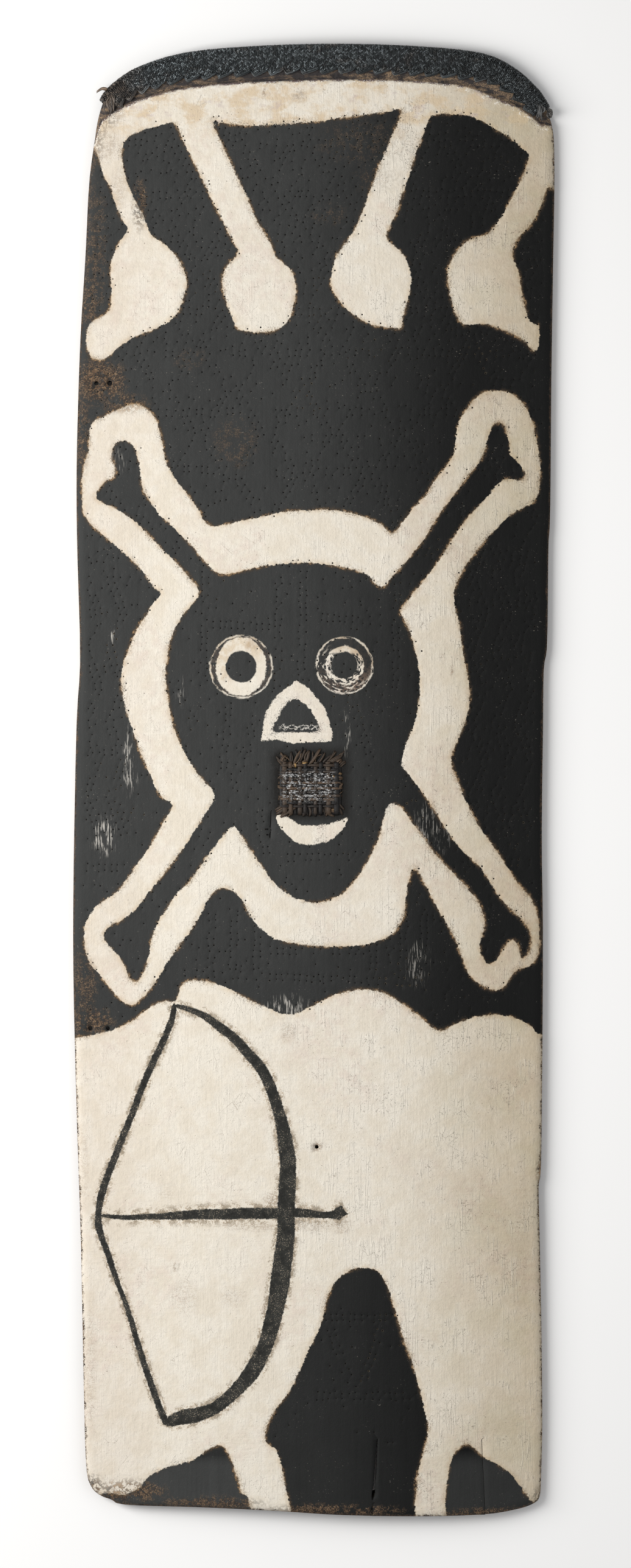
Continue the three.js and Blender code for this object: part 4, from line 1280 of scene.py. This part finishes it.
class Binding:
    """The surface that the plait follows: s runs along the edge, u round the section from front to back."""

    def __init__(self):
        line = top_edge(260)
        steps = np.hypot(*np.diff(line, axis=0).T)
        self.s = np.concatenate([[0], np.cumsum(steps)])
        self.length = self.s[-1]
        self.line = line
        run = np.gradient(line, self.s, axis=0)
        kernel = np.ones(9) / 9
        run = np.stack([np.convolve(np.pad(run[:, k], 4, "edge"), kernel, "valid") for k in (0, 1)], 1)
        run /= np.linalg.norm(run, axis=1, keepdims=True)
        self.outwards = np.stack([-run[:, 1], run[:, 0]], 1)

    def middleness(self, s):
        share = np.clip(np.asarray(s) / self.length, 0, 1)
        return np.minimum(1, np.sin(np.pi * share) * 1.6)

    def depth(self, s):
        return 15.0 + 7.5 * self.middleness(s)

    def place(self, s, u, sink=0.0):
        """Points on the surface, in mm, sunk below it by a distance."""
        s, u = np.broadcast_arrays(np.asarray(s, float), np.asarray(u, float))
        inner, back = -self.depth(s), -(17 + 7 * self.middleness(s))
        knots = np.array([0.0, 0.05, 0.45, 0.53, 0.60, 0.67, 0.74, 0.80, 1.0])
        outs = [inner, inner + 2.0, -3.0, 1.2, 3.6, 4.6, 3.4, -1.5, back]
        ups = np.array([0.8, 2.3, 2.6, 1.1, -2.2, 0.0, 2.6, 0.95, 0.95])
        fronts = np.array([1, 1, 1, 1, 1, 0.5, 0, 0, 0])
        out = np.zeros(s.shape)
        for number in range(len(knots) - 1):
            share = (u - knots[number]) / (knots[number + 1] - knots[number])
            chosen = (u >= knots[number]) & (u <= knots[number + 1])
            value = outs[number] + (outs[number + 1] - outs[number]) * share
            out = np.where(chosen, value, out)
        out = np.where(u < 0, inner + u * SECTION, out)
        up = np.interp(u, knots, ups)
        front = np.interp(u, knots, fronts)
        base = np.stack([np.interp(s, self.s, self.line[:, k]) for k in (0, 1)], -1)
        away = np.stack([np.interp(s, self.s, self.outwards[:, k]) for k in (0, 1)], -1)
        along = np.clip(s, 0, self.length) - s
        flat = base + away * out[..., None] - np.stack([away[..., 1], -away[..., 0]], -1) * along[..., None]
        high = front * front_height(flat[..., 0] * MM) + (1 - front) * back_height(flat[..., 0] * MM)
        point = np.concatenate([flat, (high / MM + up)[..., None]], -1)
        return point - self.lift(s, u) * sink if sink else point

    def lift(self, s, u):
        """Directions out of the surface."""
        ahead = self.place(s + 0.8, u) - self.place(s - 0.8, u)
        across = self.place(s, u + 0.012) - self.place(s, u - 0.012)
        normal = np.cross(ahead, across)
        normal /= np.maximum(np.linalg.norm(normal, axis=-1, keepdims=True), 1e-9)
        return normal


    def tooth(self, s, up=0.0):
        """How far through its tooth a place lies. The creases between teeth lean as they climb."""
        s = np.asarray(s, float)
        wander = 1.5 * np.sin(s / 29) + 0.9 * np.sin(s / 12.3 + 2)
        count = (s + wander - 1.5 - 0.95 * np.maximum(up, 0)) / ((self.length - 4) / TEETH)
        return count - np.floor(count)

    def hem(self, s):
        """How far the scalloped edge comes down below the plait's lower line."""
        share = self.tooth(s)
        fall = 1 - 0.86 * np.clip((share - 0.17) / 0.83, 0, 1) ** 1.15
        return TOOTH_REACH * np.minimum(share / 0.17, 1) ** 0.7 * fall

    def swell(self, s, out):
        """How far the bundles between the creases stand proud."""
        fade = np.clip(1 - (np.asarray(out) - 1) / 15, 0, 1)
        return 1.2 * fade * (np.sin(np.pi * self.tooth(s, out)) ** 0.6 - 0.35)


def make_binding_skin(binding):
    """The underside of the plait, as a closed band round the edge. It carries no tone or crest, so the finish
    paints it in its darkest shade, and the gaps between the stitches show as shade.
    """
    stations, turns = 330, 30
    bm = bmesh.new()
    for name in ("tone", "crest", "brown"):
        bm.verts.layers.float.new(name)
    bmesh.ops.create_grid(bm, x_segments=stations, y_segments=turns, size=1)
    s = np.linspace(0.5, binding.length - 0.5, stations + 1)
    outer = 22
    u = np.linspace(0.01, 0.99, outer)
    rows = [binding.place(s, (0.9 - binding.hem(s)) / SECTION, 0.75)]
    rows += [binding.place(s, value, 0.75) for value in u[1:]]
    inside = [
        (-0.5, 0.0, 3.4), (-0.2, 0.0, 4.4), (0.0, 0.5, 0.0),
        (-0.2, 1.0, -3.0), (-0.5, 1.0, -2.4), (-0.8, 1.0, -2.0),
    ]
    for share, front, up in inside:
        out = share * binding.depth(s)
        base = np.stack([np.interp(s, binding.s, binding.line[:, k]) for k in (0, 1)], -1)
        away = np.stack([np.interp(s, binding.s, binding.outwards[:, k]) for k in (0, 1)], -1)
        flat = base + away * (out - 0.2)[:, None]
        high = front * front_height(flat[:, 0] * MM) + (1 - front) * back_height(flat[:, 0] * MM)
        rows.append(np.concatenate([flat, (high / MM + up)[:, None]], 1))
    while len(rows) < turns:
        rows.append((rows[-1] + rows[0]) / 2)
    rows.append(rows[0])
    points = np.stack(rows)
    bm.verts.ensure_lookup_table()
    for vert, point in zip(bm.verts, points.reshape(-1, 3)):
        vert.co = Vector(point) * MM
    bmesh.ops.remove_doubles(bm, verts=bm.verts[:], dist=0.01 * MM)
    bmesh.ops.holes_fill(bm, edges=[e for e in bm.edges if e.is_boundary], sides=0)
    bmesh.ops.recalc_face_normals(bm, faces=bm.faces[:])
    return finish_mesh(bm, "plait_shade_underside")


def make_plait(binding, name, low, high, strand, seed, scalloped=False):
    """Stitches of a flat plait, two over and two under, that lean one way and the other in turn.

    They fill the section from low to high, in mm round it from the band's lower line.
    """
    luck = np.random.default_rng(seed)
    step = strand / math.sqrt(2)
    columns = np.arange(int((binding.length - 2) / (2 * step)))
    number, level = np.meshgrid(columns, np.arange(int((high - low) / (2 * step)) + 1), indexing="ij")
    number, level = number.ravel(), level.ravel()
    s = 1.0 + number * 2 * step + luck.normal(0, 0.16 * step, len(number))
    out = low + level * 2 * step + (number % 2) * step + luck.normal(0, 0.10 * step, len(number))
    kept = out < high
    if scalloped:
        kept &= out > 1.0 - binding.hem(s)
        kept &= (binding.tooth(s, out) > 0.085) | (out > 13) | (luck.random(len(s)) < 0.08)
    s, out, number = s[kept], out[kept], number[kept]
    spin = np.radians(46) * np.where(number % 2, 1, -1) + luck.normal(0, 0.10, len(s))
    reach = np.array([-1, -0.4, 0.4, 1]) * strand * 1.18
    at_s = s[:, None] + np.cos(spin)[:, None] * reach
    at_out = out[:, None] + np.sin(spin)[:, None] * reach
    normal = binding.lift(at_s, at_out / SECTION)
    rise = np.array([-0.5, 0.1, 0.1, -0.5]) + luck.normal(0, 0.09, (len(s), 1))
    if scalloped:
        rise = rise + binding.swell(s, out)[:, None]
    paths = binding.place(at_s, at_out / SECTION) + normal * rise[..., None]
    tones = np.clip(luck.beta(0.8, 2.4, len(s)), 0, 1)
    taper = np.array([0.55, 1.0, 1.0, 0.55])
    return lay_strands(name, paths, normal, strand * 0.46 * taper, 0.62 * taper, tones, 0.0, 4)


TOOTH_STRANDS = 3


def make_teeth(binding):
    """Strands that follow the scalloped lower edge of the plait, a few to each tooth."""
    luck = np.random.default_rng(29)
    paths, lifts, tones = [], [], []
    t = np.linspace(0.0, 1.10, 12)
    fine_s = np.arange(0.5, binding.length - 0.5, 0.05)
    starts = fine_s[1:][np.diff(binding.tooth(fine_s)) < -0.5]
    starts = np.concatenate([[0.6], starts, [binding.length - 0.6]])
    for start, end in zip(starts[:-1], starts[1:]):
        for strand in range(TOOTH_STRANDS):
            s = start + (end - start) * t + 0.55 * strand * np.clip(1 - t * 3, 0, 1)
            s = np.minimum(s, binding.length)
            drop = binding.hem(np.clip(s, start + 0.1, end - 0.1))
            out = 0.4 + 1.05 * strand - drop + luck.normal(0, 0.16, len(t))
            normal = binding.lift(s, np.maximum(out / SECTION, 0.03))
            sink = 1.6 * np.clip((t - 0.92) / 0.16, 0, 1) + 0.7 * np.clip(1 - t * 8, 0, 1)
            rise = 0.30 + binding.swell(np.clip(s, start + 0.1, end - 0.1), out) - sink
            paths.append(binding.place(s, out / SECTION) + normal * rise[:, None])
            lifts.append(normal)
            tones.append(np.clip(luck.normal(0.14, 0.16), 0, 1))
    width = 0.58 * np.array([0.5, 0.9] + [1.0] * 8 + [0.8, 0.5])
    return lay_strands("plait_teeth", paths, lifts, width, width * 0.85, tones, 0.0, 6)


def make_binding_ends(binding):
    """The flat brown tuft and strand ends at the left, and the small knot at the right."""
    luck = np.random.default_rng(31)
    paths, lifts, widths, tones, brown = [], [], [], [], []
    rings = 8
    t = np.linspace(0, 1, rings)
    up = np.tile((0, 0, 1.0), (rings, 1))
    tuft = np.array([-224.5, 749.0, front_height(-0.2245) / MM - 1.0])
    for strand in range(5):
        start = tuft + luck.normal(0, 0.7, 3) * (1, 1.2, 0.5)
        heading = np.array([-13.0, -5.0 + 0.9 * strand, -1.5]) * luck.uniform(0.75, 1.0)
        bow = np.array([0, 2.0, 1.0]) * luck.uniform(0.6, 1.1)
        paths.append(start + heading * t[:, None] + bow * np.sin(np.pi * t)[:, None])
        lifts.append(up)
        widths.append(np.array([1.2, 1.5, 1.6, 1.5, 1.3, 1.0, 0.7, 0.2]))
        tones.append(luck.uniform(0.45, 0.9))
        brown.append(1.0)
    for end, spread, count in ((1.5, 2.6, 15), (binding.length - 1.5, 2.6, 12)):
        middle = binding.place(np.array(end), np.array(0.22))
        for strand in range(count):
            along = luck.normal(0, spread * 0.6)
            start = middle + np.array([along, luck.uniform(3, 9), 0.4])
            drop = np.array([luck.normal(0, 1.6), -luck.uniform(9, 17), -0.6])
            bow = np.array([luck.normal(0, 2.2), 0, luck.uniform(0.4, 1.6)])
            paths.append(start + drop * t[:, None] + bow * np.sin(np.pi * t)[:, None])
            lifts.append(up)
            widths.append(0.85 * np.array([0.6, 1.0, 1.0, 1.0, 1.0, 0.9, 0.7, 0.3]))
            tones.append(luck.uniform(0.1, 0.7))
            brown.append(0.9 if end < 50 else 0.35)
    knot = np.array([255.4, 722.5, front_height(0.255) / MM + 0.6])
    for strand in range(9):
        sweep = luck.uniform(0, math.tau) + t * luck.uniform(4.0, 5.6)
        loop = np.array([luck.uniform(1.5, 3.0), luck.uniform(2.6, 5.0)])
        centre = knot + np.array([luck.normal(0, 0.5), luck.normal(0, 1.6), luck.normal(0, 0.6)])
        ring = np.stack([np.cos(sweep) * loop[0], np.sin(sweep) * loop[1], 0.9 * np.sin(sweep * 1.4)], 1)
        paths.append(centre + ring)
        lifts.append(up)
        widths.append(0.8 * np.array([0.6, 1.0, 1.0, 1.0, 1.0, 1.0, 0.8, 0.4]))
        tones.append(luck.uniform(0.1, 0.75))
        brown.append(0.6)
    widths = np.array(widths)
    return lay_strands("plait_ends", paths, lifts, widths, np.minimum(widths, 0.8), tones, brown, 6)


# ---------------------------------------------------------------------------------------------
# Woven lashing
# ---------------------------------------------------------------------------------------------
CORE = {"left": -37.0, "right": 29.0, "low": -29.0, "high": 15.5}
WEFT_COUNT = 13
WARP_COUNT = 8


def over_wood(x):
    return front_height(np.asarray(x) * MM) / MM


def make_weave():
    """Flat strips across, over and under the upright ones, on a mat of closely laid strips that is painted
    dark as shade in the gaps of the weave.
    """
    luck = np.random.default_rng(41)
    rings = 25
    paths, widths, heights, tones = [], [], [], []
    t = np.linspace(0, 1, rings)
    pitch = (CORE["high"] - CORE["low"]) / (WEFT_COUNT - 1)
    warp_pitch = (CORE["right"] - CORE["left"] - 9) / (WARP_COUNT - 1)
    for row in range(WEFT_COUNT):
        x = CORE["left"] - 0.6 + (CORE["right"] - CORE["left"] + 1.2) * t + luck.normal(0, 0.9)
        y = CORE["low"] + pitch * row + luck.normal(0, 0.35) + luck.normal(0, 0.35, rings).cumsum() * 0.25
        phase = np.pi * ((x - CORE["left"] - 4.5) / warp_pitch + row) + luck.normal(0, 0.3)
        dip = np.minimum(1, np.minimum(t, 1 - t) * 14)
        z = over_wood(x) + 0.2 + dip * (2.7 + 0.95 * np.cos(phase)) - 0.6 * (1 - dip)
        paths.append(np.stack([x, y, z + luck.normal(0, 0.12, rings)], 1))
        widths.append(1.55 + 0.25 * np.sin(phase) + luck.normal(0, 0.12) + luck.normal(0, 0.08, rings))
        heights.append(np.full(rings, 0.72))
        tones.append(np.clip(luck.normal(0.34, 0.26), 0.03, 0.74))
    for column in range(WARP_COUNT):
        y = -38.5 + (CORE["high"] + 3.5 + 38.5) * t
        x = CORE["left"] + 4.5 + warp_pitch * column + luck.normal(0, 0.7)
        x = x + luck.normal(0, 0.4, rings).cumsum() * 0.22
        phase = np.pi * ((y - CORE["low"]) / pitch + column + 1)
        woven = np.clip((y - CORE["low"] + 1.5) / 3, 0, 1)
        z = over_wood(x) + 0.2 + 2.5 + woven * 0.9 * np.cos(phase) + (1 - woven) * 0.8
        z -= np.clip((-35.5 - y) / 3, 0, 1) * 3.0
        paths.append(np.stack([x, y, z], 1))
        widths.append(luck.uniform(2.0, 3.0) + luck.normal(0, 0.15, rings))
        heights.append(np.full(rings, 0.75))
        tones.append(np.clip(luck.normal(0.26, 0.14), 0.05, 0.7))
    # The mat: strips under the weave, in a dark tone that is painted shade for the gaps between the strips
    # above.
    for column in range(14):
        x = np.full(rings, CORE["left"] + 2.5 + 4.7 * column) + luck.normal(0, 0.3)
        y = -38.0 + 54.5 * t
        paths.append(np.stack([x, y, over_wood(x) + 1.1 - 0.9 * (np.abs(2 * t - 1) ** 8)], 1))
        widths.append(np.full(rings, 2.7))
        heights.append(np.full(rings, 1.0))
        tones.append(0.10)
    lifts = np.tile((0, 0, 1.0), (len(paths), rings, 1))
    return lay_strands("lashing_weave", paths, lifts, np.array(widths), np.array(heights), tones, 0.0, 8)


# Loose strips round the weave: from x, y to x, y, half width, height over the wood, tone
FANS = [
    (-33, 16, -41, 25, 1.5, 1.6, 0.45), (-30, 17, -36, 29, 1.7, 2.0, 0.62),
    (-27, 17, -38, 22, 1.3, 2.6, 0.55), (-24, 16, -24, 30, 1.5, 2.2, 0.30),
    (-22, 15, -14, 31, 1.7, 2.8, 0.50), (-17, 16, -9, 33, 1.6, 2.2, 0.35),
    (-14, 15, -20, 32, 1.4, 1.6, 0.25), (-9, 17, -5, 31, 1.8, 2.6, 0.45),
    (-5, 16, 6, 33, 1.7, 3.0, 0.55), (0, 16, -1, 30, 1.3, 1.8, 0.30), (3, 15, 12, 29, 1.4, 2.0, 0.40),
    (8, 16, 20, 27, 1.5, 2.4, 0.30), (12, 15, 24, 30, 1.5, 1.8, 0.45), (16, 17, 31, 26, 1.7, 2.5, 0.50),
    (21, 15, 33, 31, 1.3, 1.6, 0.35), (24, 17, 30, 22, 1.4, 2.8, 0.60),
    (27, 14, 34, 20, 1.3, 1.8, 0.40), (-35, 19, -30, 26, 1.2, 3.0, 0.78),
    (-20, -24, -41, -38, 2.2, 2.6, 0.42), (-24, -22, -42, -33, 1.8, 2.0, 0.36),
    (-17, -28, -36, -41, 1.9, 3.0, 0.50), (-25, -30, -31, -40, 1.4, 1.8, 0.30),
    (12, -28, 27, -36, 1.5, 2.8, 0.60), (18, -26, 31, -38, 1.7, 2.2, 0.45),
    (6, -30, 22, -40, 1.3, 2.0, 0.55), (16, -33, 28, -31, 1.2, 3.2, 0.85),
    (24, -24, 33, -33, 1.4, 1.8, 0.35), (-12, -29, -12, -40, 1.8, 3.0, 0.35),
    (-6, -29, -5, -40, 1.6, 3.2, 0.42), (0, -29, 1, -40, 1.7, 3.0, 0.30),
    (6, -28, 7, -39, 1.5, 2.8, 0.70), (12, -30, 13, -40, 1.3, 2.6, 0.45),
    (-22, 17, -20, 13, 1.6, 3.6, 0.98), (-13, 18, -7, 18.5, 1.5, 3.6, 0.95),
    (21, 5, 22, 0, 1.5, 3.4, 0.92), (24, 7, 30, 6, 1.4, 3.0, 0.84), (23, 1, 31, 2, 1.3, 2.8, 0.74),
    (24, -5, 31, -4, 1.3, 2.8, 0.80), (22, -10, 31, -9, 1.3, 2.8, 0.70),
    (-39, -8, -31, -8, 1.1, 2.4, 0.66), (-39, 2, -31, 1, 1.1, 2.4, 0.60),
    (-38, -18, -30, -18, 1.2, 2.6, 0.62),
]


def make_fans():
    """Strips that spread to the corners and hold the weave down, each with thinner ones beside it."""
    luck = np.random.default_rng(43)
    rings = 9
    t = np.linspace(0, 1, rings)
    paths, widths, heights, tones = [], [], [], []
    for x0, y0, x1, y1, half, level, tone in FANS:
        run = np.array([x1 - x0, y1 - y0], float)
        side = np.array([-run[1], run[0]]) / np.hypot(*run)
        for copy, shrink in enumerate((1.0, 0.62, 0.5)):
            bow = luck.normal(0, 0.9 + copy * 0.5)
            shift = side * luck.normal(0, 1.5) * (copy > 0) + run * luck.uniform(-0.12, 0.05) * (copy > 0)
            flat = np.array([x0, y0]) + shift + run * t[:, None] + side * bow * np.sin(np.pi * t)[:, None]
            arch = np.sin(np.pi * np.clip(t * 0.9 + 0.08, 0, 1)) ** 0.6
            z = over_wood(flat[:, 0]) - 0.4 + (level + luck.uniform(-0.5, 0.3) * (copy > 0)) * arch
            paths.append(np.column_stack([flat, z]))
            widths.append(half * shrink * np.clip(np.sin(np.pi * (0.12 + 0.78 * t)) * 1.5, 0.3, 1))
            heights.append(np.full(rings, min(0.85, half * 0.5) * shrink ** 0.5))
            deep = tone if tone > 0.78 else tone * 0.85
            tones.append(np.clip(deep + luck.normal(0, 0.06 + 0.12 * copy), 0, 1 if copy == 0 else 0.72))
    lifts = np.tile((0, 0, 1.0), (len(paths), rings, 1))
    return lay_strands("lashing_fans", paths, lifts, np.array(widths), np.array(heights), tones, 0.0, 6)


def make_lashing_back():
    """Plain upright turns behind the plank, and the turns that go down through the slots."""
    luck = np.random.default_rng(47)
    rings = 15
    t = np.linspace(0, 1, rings)
    paths, lifts, tones = [], [], []
    for number in range(15):
        x = -28.5 + 3.55 * number + luck.normal(0, 0.15)
        low, high = -35 + luck.normal(0, 0.5), 25 + luck.normal(0, 0.5)
        turn = np.clip((t - 0.5) * 2.25, -1, 1) * np.pi / 2
        y = (low + high) / 2 + (high - low) / 2 * np.sin(turn)
        under = back_height(x * MM) / MM - 2.4
        climb = np.clip((np.abs(t - 0.5) - 0.42) / 0.08, 0, 1)
        z = under + climb * (over_wood(x) - 1.0 - under)
        paths.append(np.stack([np.full(rings, x), y, z], 1))
        outwards = np.stack([np.zeros(rings), np.where(y > 0, 1, -1) * climb, -(1 - climb) - 0.01], 1)
        lifts.append(outwards / np.linalg.norm(outwards, axis=1, keepdims=True))
        tones.append(np.clip(luck.normal(0.4, 0.15), 0, 0.8))
    return lay_strands("lashing_back", paths, lifts, 1.72, 1.1, tones, 0.0, 8)


# ---------------------------------------------------------------------------------------------
# Floor, light and camera
# ---------------------------------------------------------------------------------------------
def make_floor():
    """A plain pale floor."""
    bm = bmesh.new()
    bmesh.ops.create_grid(bm, x_segments=1, y_segments=1, size=6)
    floor = finish_mesh(bm, "studio_floor", smooth=False)
    f = Finish("studio_paper")
    floor.data.materials.append(f.close(f.mix(f.noise(400), (0.90, 0.90, 0.90), (0.92, 0.92, 0.92)), 0.9))


def aim(thing, place, target):
    thing.location = place
    thing.rotation_euler = (Vector(target) - Vector(place)).to_track_quat("-Z", "Y").to_euler()


def add_light(name, place, target, size, power, colour):
    data = bpy.data.lights.new(name, "AREA")
    data.shape = "RECTANGLE"
    data.size, data.size_y = size
    data.energy = power
    data.color = colour
    light = bpy.data.objects.new(name, data)
    bpy.context.scene.collection.objects.link(light)
    aim(light, place, target)


def make_studio():
    """Soft lights and a pale surround."""
    scene = bpy.context.scene
    add_light("window_left", (-1.9, 0.25, 1.75), (0.0, 0.0, 0.0), (1.2, 2.6), 78, (1.0, 0.985, 0.96))
    add_light("fill_right", (2.6, -0.6, 2.6), (0.0, 0.0, 0.0), (2.4, 2.4), 10, (0.97, 0.985, 1.0))
    world = bpy.data.worlds.new("studio")
    world.use_nodes = True
    ground = world.node_tree.nodes["Background"]
    ground.inputs["Color"].default_value = (1.0, 1.0, 1.0, 1.0)
    ground.inputs["Strength"].default_value = 0.44
    scene.world = world
    scene.view_settings.view_transform = "Standard"


VIEW_HEIGHT = 1.7002
CAMERA_DISTANCE = 6.0


def make_camera():
    """The camera over the painted face."""
    data = bpy.data.cameras.new("front_camera")
    data.sensor_fit = "VERTICAL"
    data.sensor_height = 36
    data.lens = 36 * CAMERA_DISTANCE / VIEW_HEIGHT
    data.clip_end = 50
    camera = bpy.data.objects.new("front_camera", data)
    camera.location = (1.65 * MM, -4.95 * MM, CAMERA_DISTANCE + 20 * MM)
    bpy.context.scene.collection.objects.link(camera)
    bpy.context.scene.camera = camera


# ---------------------------------------------------------------------------------------------
# Putting it together
# ---------------------------------------------------------------------------------------------
def dress(piece, finish, node):
    piece.data.materials.clear()
    piece.data.materials.append(finish)
    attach(piece, "root")
    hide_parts(node)


painted_wood, dark_fibre, brown_cane = painted_wood_finish(), fibre_finish(), cane_finish()
dress(make_plank(), painted_wood, "plank")

edge_surface = Binding()
for part in (
    make_binding_skin(edge_surface),
    make_plait(edge_surface, "plait_front", -6.2, 34.5, 1.42, 3, scalloped=True),
    make_plait(edge_surface, "plait_back", 36.0, 47.5, 1.9, 5),
    make_teeth(edge_surface),
    make_binding_ends(edge_surface),
):
    dress(part, dark_fibre, "rim_binding")
for part in (make_weave(), make_fans(), make_lashing_back()):
    dress(part, brown_cane, "grip_lashing")

make_floor()
make_studio()
make_camera()
